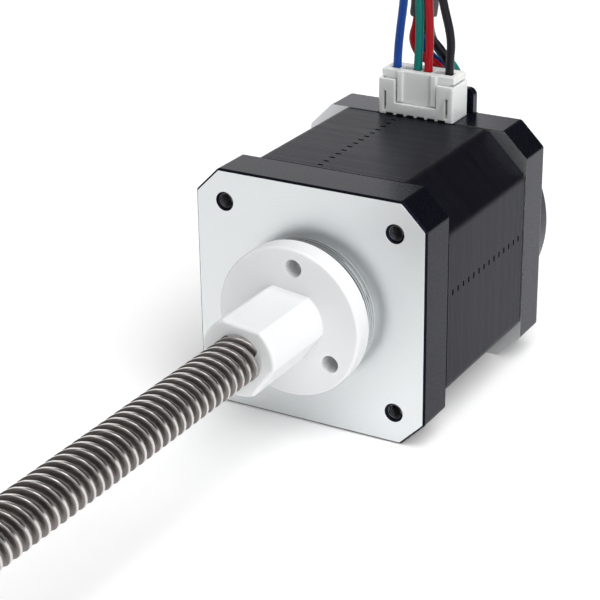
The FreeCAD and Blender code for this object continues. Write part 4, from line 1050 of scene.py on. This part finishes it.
@dataclass
class LeadScrew:
    """Four-start lead screw and the motor shaft behind it."""

    crest: float = 4.0
    root: float = 2.9
    pitch: float = PITCH
    lead: float = LEAD
    tip: float = -100.0
    thread_end: float = 0.5
    tip_bevel: float = 0.8
    crest_place: float = CREST_PLACE
    steps_per_pitch: int = 14
    columns: int = 72
    end_face: float = 0.99
    shaft_radius: float = 2.5
    shaft_end: float = 48.8
    shaft_bevel: float = 0.4
    shaft_sides: int = 48

    # Radius and place along the axis of the thread's run-out, the relief and the collar.
    COLLAR = ((0.0, 0.4), (3.5, 0.4), (3.5, 0.98), (3.3, 1.2), (3.3, 2.05), (3.2, 2.2))
    INPUTS = {
        "Columns": "Int", "Rows": "Int", "Start": "Float", "End": "Float", "Crest": "Float",
        "Root": "Float", "Pitch": "Float", "Lead": "Float", "Crest Place": "Float", "Bevel": "Float",
        "Clearance": "Float", "Largest": "Float", "Material": "Material"}

    def tree(self, name: str, closed: bool) -> Graph:
        """Builds the thread's tree: a fine tube whose radius follows the thread's profile.

        Args:
            name: Name of the tree.
            closed: Whether the ends are filled.

        Returns:
            The tree's graph.
        """
        graph, size = new_tree(name, self.INPUTS)
        start, end, crest = size["Start"], size["End"], size["Crest"]
        length = graph.add("ShaderNodeMath", (end, start), operation="SUBTRACT")
        middle = graph.add("ShaderNodeMath", (length, 0.5, start), operation="MULTIPLY_ADD")
        bounds = {
            "Vertices": size["Columns"], "Side Segments": size["Rows"], "Radius": crest, "Depth": length}
        ends = "NGON" if closed else "NONE"
        tube = graph.add("GeometryNodeMeshCylinder", bounds, "Mesh", fill_type=ends)
        place = graph.add("GeometryNodeInputPosition")
        across, up, deep = graph.add("ShaderNodeSeparateXYZ", (place,)).node.outputs
        turn = graph.add("ShaderNodeMath", (up, across), operation="ARCTAN2")
        along = graph.add("ShaderNodeMath", (middle, deep), operation="SUBTRACT")
        # A point's place along the profile is its depth plus the helix's advance at its angle.
        rise = graph.add("ShaderNodeMath", (size["Lead"], 2 * math.pi), operation="DIVIDE")
        wound = graph.add("ShaderNodeMath", (turn, rise, along), operation="MULTIPLY_ADD")
        phase = graph.add("ShaderNodeMath", (wound, size["Crest Place"]), operation="SUBTRACT")
        half = graph.add("ShaderNodeMath", (size["Pitch"], 0.5), operation="MULTIPLY")
        other = graph.add("ShaderNodeMath", (size["Pitch"], -0.5), operation="MULTIPLY")
        folded = graph.add("ShaderNodeMath", (phase, half, other), operation="WRAP")
        offset = graph.add("ShaderNodeMath", (folded,), operation="ABSOLUTE")
        # Crest, flank and half the groove each take a sixth of the pitch.
        sixth = graph.add("ShaderNodeMath", (size["Pitch"], 6.0), operation="DIVIDE")
        third = graph.add("ShaderNodeMath", (size["Pitch"], 3.0), operation="DIVIDE")
        slope = {
            "Value": offset, "From Min": sixth, "From Max": third, "To Min": crest, "To Max": size["Root"]}
        flank = graph.add("ShaderNodeMapRange", slope)
        from_tip = graph.add("ShaderNodeMath", (along, start), operation="SUBTRACT")
        blunt = graph.add("ShaderNodeMath", (crest, size["Bevel"]), operation="SUBTRACT")
        limit = graph.add("ShaderNodeMath", (blunt, from_tip), operation="ADD")
        cut = graph.add("ShaderNodeMath", (flank, limit), operation="MINIMUM")
        eased = graph.add("ShaderNodeMath", (cut, size["Clearance"]), operation="ADD")
        radius = graph.add("ShaderNodeMath", (eased, size["Largest"]), operation="MINIMUM")
        cosine = graph.add("ShaderNodeMath", (turn,), operation="COSINE")
        sine = graph.add("ShaderNodeMath", (turn,), operation="SINE")
        aside = graph.add("ShaderNodeMath", (radius, cosine), operation="MULTIPLY")
        height = graph.add("ShaderNodeMath", (radius, sine), operation="MULTIPLY")
        moved = graph.add("ShaderNodeCombineXYZ", (aside, along, height))
        shaped = graph.add("GeometryNodeSetPosition", {"Geometry": tube, "Position": moved})
        split = graph.add("GeometryNodeTriangulate", {"Mesh": shaped}, quad_method="SHORTEST_DIAGONAL")
        close_tree(graph, split, size["Material"])
        return graph

    def thread(
            self, name: str, start: float, end: float, finish: Finish, closed: bool = True,
            bevel: float = 0.0, clearance: float = 0.0, largest: float = 9.0) -> bpy.types.Mesh:
        """Grows a stretch of the thread.

        Args:
            name: Name of the mesh.
            start: Where it begins along the axis.
            end: Where it ends.
            finish: What it is made of.
            closed: Whether its ends are filled.
            bevel: Bevel at its beginning.
            clearance: How far it stands off the screw's own profile.
            largest: Largest radius that it reaches.

        Returns:
            The mesh.
        """
        rows = round((end - start) / self.pitch * self.steps_per_pitch)
        sizes = {
            "Start": start, "End": end, "Crest": self.crest, "Root": self.root, "Pitch": self.pitch,
            "Lead": self.lead, "Crest Place": self.crest_place, "Bevel": bevel, "Clearance": clearance,
            "Largest": largest}
        values = {label: size * MM for label, size in sizes.items()}
        values |= {"Columns": self.columns, "Rows": rows, "Material": finish.material()}
        return grown(name, self.tree(name + "_tree", closed), values)

    def build(self) -> None:
        """Makes thread and shaft."""
        mesh = self.thread("lead_screw_thread", self.tip, self.thread_end, THREAD, bevel=self.tip_bevel)
        for face in mesh.polygons:
            # Only the two end faces look straight along the axis.
            face.use_smooth = abs(face.normal.y) < self.end_face
        settle(new_piece("lead_screw_thread", mesh), Body.ROTOR, "screw_steel", "lead_screw")
        settle(new_piece("motor_shaft", self.shaft()), Body.ROTOR, "screw_steel")

    def shaft(self) -> bpy.types.Mesh:
        """Turns the relief, collar and shaft behind the thread.

        Returns:
            The closed shape.
        """
        shape = bmesh.new()
        end = self.shaft_end
        outline = (
            *self.COLLAR, (self.shaft_radius, self.COLLAR[-1][1]),
            (self.shaft_radius, end - self.shaft_bevel), (self.shaft_radius - self.shaft_bevel, end),
            (0.0, end))
        points = [shape.verts.new(Vector((radius, along, 0)) * MM) for radius, along in outline]
        edges = [shape.edges.new(pair) for pair in zip(points, points[1:])]
        bmesh.ops.spin(
            shape, geom=points + edges, cent=(0, 0, 0), axis=(0, 1, 0), angle=2 * math.pi,
            steps=self.shaft_sides, use_merge=True)
        bmesh.ops.remove_doubles(shape, verts=shape.verts, dist=WELD)
        bmesh.ops.recalc_face_normals(shape, faces=shape.faces)
        return mesh_from("motor_shaft", shape, SHAFT)


@dataclass
class LeadNut:
    """White flanged nut with its own four-start thread inside."""

    screw: LeadScrew
    thread_front: float = -22.0
    thread_rear: float = -3.0
    bore: float = 4.045
    bore_gap: float = 0.02
    clearance: float = 0.06

    def build(self) -> None:
        """Dresses the nut and puts the thread into its bore."""
        dress("lead_nut", ACETAL)
        settle(new_piece("nut_thread", self.inner_thread()), Body.NUT, "white_acetal")

    def inner_thread(self) -> bpy.types.Mesh:
        """Grows the thread's inner face and closes it to the bore.

        Returns:
            The closed shape.
        """
        mesh = self.screw.thread(
            "nut_thread", self.thread_front, self.thread_rear, ACETAL, closed=False,
            clearance=self.clearance, largest=self.bore - self.bore_gap)
        shape = bmesh.new()
        shape.from_mesh(mesh)
        bmesh.ops.reverse_faces(shape, faces=shape.faces)
        rim = {}
        for vertex in list(shape.verts):
            if vertex.is_boundary:
                out = Vector((vertex.co.x, 0, vertex.co.z)).normalized() * self.bore * MM
                rim[vertex] = shape.verts.new((out.x, vertex.co.y, out.z))
        for edge in [edge for edge in shape.edges if edge.is_boundary]:
            first, second = edge.verts
            shape.faces.new((first, second, rim[second], rim[first]))
        loops = [edge for edge in shape.edges if edge.is_boundary]
        bmesh.ops.bridge_loops(shape, edges=loops)
        bmesh.ops.recalc_face_normals(shape, faces=shape.faces)
        bpy.data.meshes.remove(mesh)
        return mesh_from("nut_thread", shape, ACETAL)


@dataclass
class MotorBody:
    """End caps, laminated stack, tie screws and the threads of the mounting holes."""

    front: float = STACK_FRONT
    rear: float = 38.4
    half: float = 20.9
    sheets: int = 61
    sheet_gap: float = 0.035
    notch_place: float = 2.95
    notch_width: float = 1.0
    notch_depth: float = 0.45
    joint_depth: float = 0.35
    rim_width: float = 0.4
    corner_reach: float = 34.5
    bolt_half: float = 15.5
    tap_radius: float = 1.25
    tap_pitch: float = 0.5
    tap_depth: float = 4.1
    tap_start: float = 0.3
    ridge: float = 0.1
    ridge_sink: float = 0.02
    # How near a corner has to be, in metres, to count as on the stack's front face or its side.
    on_face: float = 1e-6
    on_side: float = 1e-5

    def build(self) -> None:
        """Dresses the caps and screws, and makes stack and threads."""
        dress("front_end_cap", FRONT_CAP)
        dress("rear_end_cap", REAR_CAP)
        dress("tie_screws", BLACK_SCREW)
        settle(new_piece("lamination_stack", self.stack()), Body.MOTOR, "lamination", "stator_core")
        settle(new_piece("mounting_hole_threads", self.hole_threads()), Body.MOTOR, "cast_cap")

    def sheet(self) -> bpy.types.Mesh:
        """Makes one punched sheet from the stack's front face, with a notch in one side.

        Returns:
            The sheet, closed, with its front face at the stack's front.
        """
        shape = bmesh.new()
        shape.from_mesh(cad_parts["stator_core"].data)
        bmesh.ops.remove_doubles(shape, verts=shape.verts, dist=WELD)
        plane = self.front * MM
        hidden = [
            face for face in shape.faces
            if any(abs(vertex.co.y - plane) > self.on_face for vertex in face.verts)]
        bmesh.ops.delete(shape, geom=hidden, context="FACES")
        self.punch(shape)
        flat = list(shape.faces)
        rim = [(*edge.verts, edge.link_faces[0]) for edge in shape.edges if edge.is_boundary]
        thick = Vector((0, ((self.rear - self.front) / self.sheets - self.sheet_gap) * MM, 0))
        upper = {vertex: shape.verts.new(vertex.co + thick) for vertex in list(shape.verts)}
        for face in flat:
            shape.faces.new([upper[vertex] for vertex in reversed(face.verts)])
        for first, second, face in rim:
            order = list(face.verts)
            if order[(order.index(first) + 1) % len(order)] is not second:
                first, second = second, first
            shape.faces.new((second, first, upper[first], upper[second]))
        mesh = bpy.data.meshes.new("punched_sheet")
        shape.to_mesh(mesh)
        shape.free()
        return mesh

    def punch(self, sheet: bmesh.types.BMesh) -> None:
        """Cuts the small notch into the flat sheet's +X side.

        Args:
            sheet: The flat sheet, made of triangles.
        """
        side = self.half * MM
        low = (self.notch_place - self.notch_width / 2) * MM
        high = (self.notch_place + self.notch_width / 2) * MM

        def spans_notch(edge: bmesh.types.BMEdge) -> bool:
            """Whether an edge lies on the +X side and spans the notch.

            Args:
                edge: An edge of the sheet.

            Returns:
                True for the one edge that the notch is cut from.
            """
            heights = [end.co.z for end in edge.verts]
            on_side = all(abs(end.co.x - side) < self.on_side for end in edge.verts)
            return edge.is_boundary and on_side and min(heights) < low < high < max(heights)

        edge = next(edge for edge in sheet.edges if spans_notch(edge))
        face = edge.link_faces[0]
        order = list(face.verts)
        apex = next(vertex for vertex in order if vertex not in set(edge.verts))
        at = order.index(apex)
        first, second = order[(at + 1) % 3], order[(at + 2) % 3]
        depth = side - self.notch_depth * MM
        corners = [(side, low), (depth, low), (depth, high), (side, high)]
        if first.co.z > second.co.z:
            corners.reverse()
        notch = [sheet.verts.new((x, first.co.y, z)) for x, z in corners]
        bmesh.ops.delete(sheet, geom=[face], context="FACES_ONLY")
        sheet.edges.remove(edge)
        sheet.faces.new((first, *notch, second, apex))

    def stack(self) -> bpy.types.Mesh:
        """Stacks the sheets, each a quarter turn on from the last, so the notches make dashed rows.

        Returns:
            All sheets as one mesh.
        """
        graph, size = new_tree(
            "lamination_tree",
            {"Sheet": "Geometry", "Count": "Int", "Step": "Float", "Material": "Material"})
        step = graph.add("ShaderNodeCombineXYZ", {"Y": size["Step"]})
        row = graph.add("GeometryNodeMeshLine", {"Count": size["Count"], "Offset": step})
        number = graph.add("GeometryNodeInputIndex")
        turn = graph.add("ShaderNodeMath", (number, math.pi / 2), operation="MULTIPLY")
        spin = graph.add("ShaderNodeCombineXYZ", {"Y": turn})
        laid = {"Points": row, "Instance": size["Sheet"], "Rotation": spin}
        close_tree(graph, graph.add("GeometryNodeInstanceOnPoints", laid), size["Material"])
        pitch = (self.rear - self.front) / self.sheets * MM
        values = {"Count": self.sheets, "Step": pitch, "Material": STACK.material()}
        mesh = grown("lamination_stack", graph, values, self.sheet())
        self.set_back_ends(mesh)
        return mesh

    def set_back_ends(self, stack: bpy.types.Mesh) -> None:
        """Sets the rims of the two end sheets back, so that a dark joint shows beside each cap.

        Args:
            stack: All sheets, changed here.
        """
        pitch = (self.rear - self.front) / self.sheets
        first = self.front + pitch - self.sheet_gap / 2
        last = self.rear - pitch - self.sheet_gap / 2
        shrink = Vector((1 - self.joint_depth / self.half, 1, 1 - self.joint_depth / self.half))
        for vertex in stack.vertices:
            x, y, z = vertex.co / MM
            rim = max(abs(x), abs(z)) > self.half - self.rim_width or abs(x) + abs(z) > self.corner_reach
            if rim and not first < y < last:
                vertex.co *= shrink

    def hole_threads(self) -> bpy.types.Mesh:
        """Winds a thread into each of the four mounting holes.

        Returns:
            The four threads as one mesh.
        """
        graph, size = new_tree(
            "hole_thread_tree",
            {"Holes": "Geometry", "Turns": "Float", "Radius": "Float", "Depth": "Float",
             "Ridge": "Float", "Material": "Material"})
        path = {
            "Resolution": 24, "Rotations": size["Turns"], "Start Radius": size["Radius"],
            "End Radius": size["Radius"], "Height": size["Depth"]}
        helix = graph.add("GeometryNodeCurveSpiral", path)
        ridge = graph.add("GeometryNodeCurvePrimitiveCircle", {"Resolution": 4, "Radius": size["Ridge"]})
        sweep = {"Curve": helix, "Profile Curve": ridge, "Fill Caps": True}
        wound = graph.add("GeometryNodeCurveToMesh", sweep)
        lying = {"Geometry": wound, "Rotation": (-math.pi / 2, 0.0, 0.0)}
        laid = graph.add("GeometryNodeTransform", lying)
        placed = graph.add("GeometryNodeInstanceOnPoints", {"Points": size["Holes"], "Instance": laid})
        close_tree(graph, placed, size["Material"])
        holes = bpy.data.meshes.new("mounting_holes")
        signs = ((1, 1), (-1, 1), (-1, -1), (1, -1))
        middles = [(across * self.bolt_half, self.tap_start, up * self.bolt_half) for across, up in signs]
        holes.from_pydata(metres(middles), [], [])
        values = {
            "Turns": self.tap_depth / self.tap_pitch, "Radius": (self.tap_radius + self.ridge_sink) * MM,
            "Depth": self.tap_depth * MM, "Ridge": self.ridge * MM, "Material": TAPPED.material()}
        return grown("mounting_hole_threads", graph, values, holes)


@dataclass
class Connector:
    """Header, plug, contacts and the board under them."""

    edge: float = 0.12
    flat_angle: float = 1.0
    sharp_angle: float = 40.0
    crisp_angle: float = 15.0

    def build(self) -> None:
        """Breaks the mouldings' edges and dresses the contacts."""
        for node, name in (("connector_header", "header_moulding"), ("plug_housing", "plug_moulding")):
            settle(new_piece(name, self.softened(node, name)), Body.MOTOR, "ivory_nylon", node)
        dress("connector_pins", TIN)
        dress("crimp_terminals", TIN)
        dress("terminal_board", BOARD)

    def softened(self, node: str, name: str) -> bpy.types.Mesh:
        """Copies a moulding and rounds its sharp edges, as its mould does.

        Args:
            node: CAD node to copy.
            name: Name of the mesh.

        Returns:
            The copy.
        """
        shape = bmesh.new()
        shape.from_mesh(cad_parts[node].data)
        bmesh.ops.remove_doubles(shape, verts=shape.verts, dist=WELD)
        bmesh.ops.dissolve_limit(
            shape, angle_limit=math.radians(self.flat_angle), verts=shape.verts, edges=shape.edges)
        limit = math.radians(self.sharp_angle)
        sharp = [edge for edge in shape.edges if edge.calc_face_angle(0.0) > limit]
        bmesh.ops.bevel(
            shape, geom=sharp, offset=self.edge * MM, offset_type="OFFSET", segments=2, profile=0.5,
            affect="EDGES", clamp_overlap=True)
        bmesh.ops.recalc_face_normals(shape, faces=shape.faces)
        return mesh_from(name, shape, IVORY, self.crisp_angle)


@dataclass
class InnerWorks:
    """Rotor, bearings, windings and insulators inside the housing."""

    def build(self) -> None:
        """Dresses what the housing hides."""
        finishes = {
            "front_insulator": INSULATOR, "rear_insulator": INSULATOR, "phase_a_coils": WINDING,
            "phase_b_coils": WINDING, "rotor_front_cup": ROTOR_SHEETS, "rotor_rear_cup": ROTOR_SHEETS,
            "rotor_magnet": MAGNET, "preload_washer": SPRING}
        for end in ("front", "rear"):
            for ring in ("outer_ring", "inner_ring", "balls"):
                finishes[f"{end}_bearing_{ring}"] = BEARING
            finishes[f"{end}_bearing_cage"] = CAGE
            finishes[f"{end}_bearing_shields"] = SPRING
        for node, finish in finishes.items():
            dress(node, finish)


def main() -> None:
    """Builds the sub-assemblies in order."""
    logging.basicConfig(level=logging.INFO, format="%(name)s: %(message)s")
    screw = LeadScrew()
    for part in (Studio(), Lead(), MotorBody(), screw, LeadNut(screw), Connector(), InnerWorks()):
        part.build()


if __name__ == "__main__":
    main()
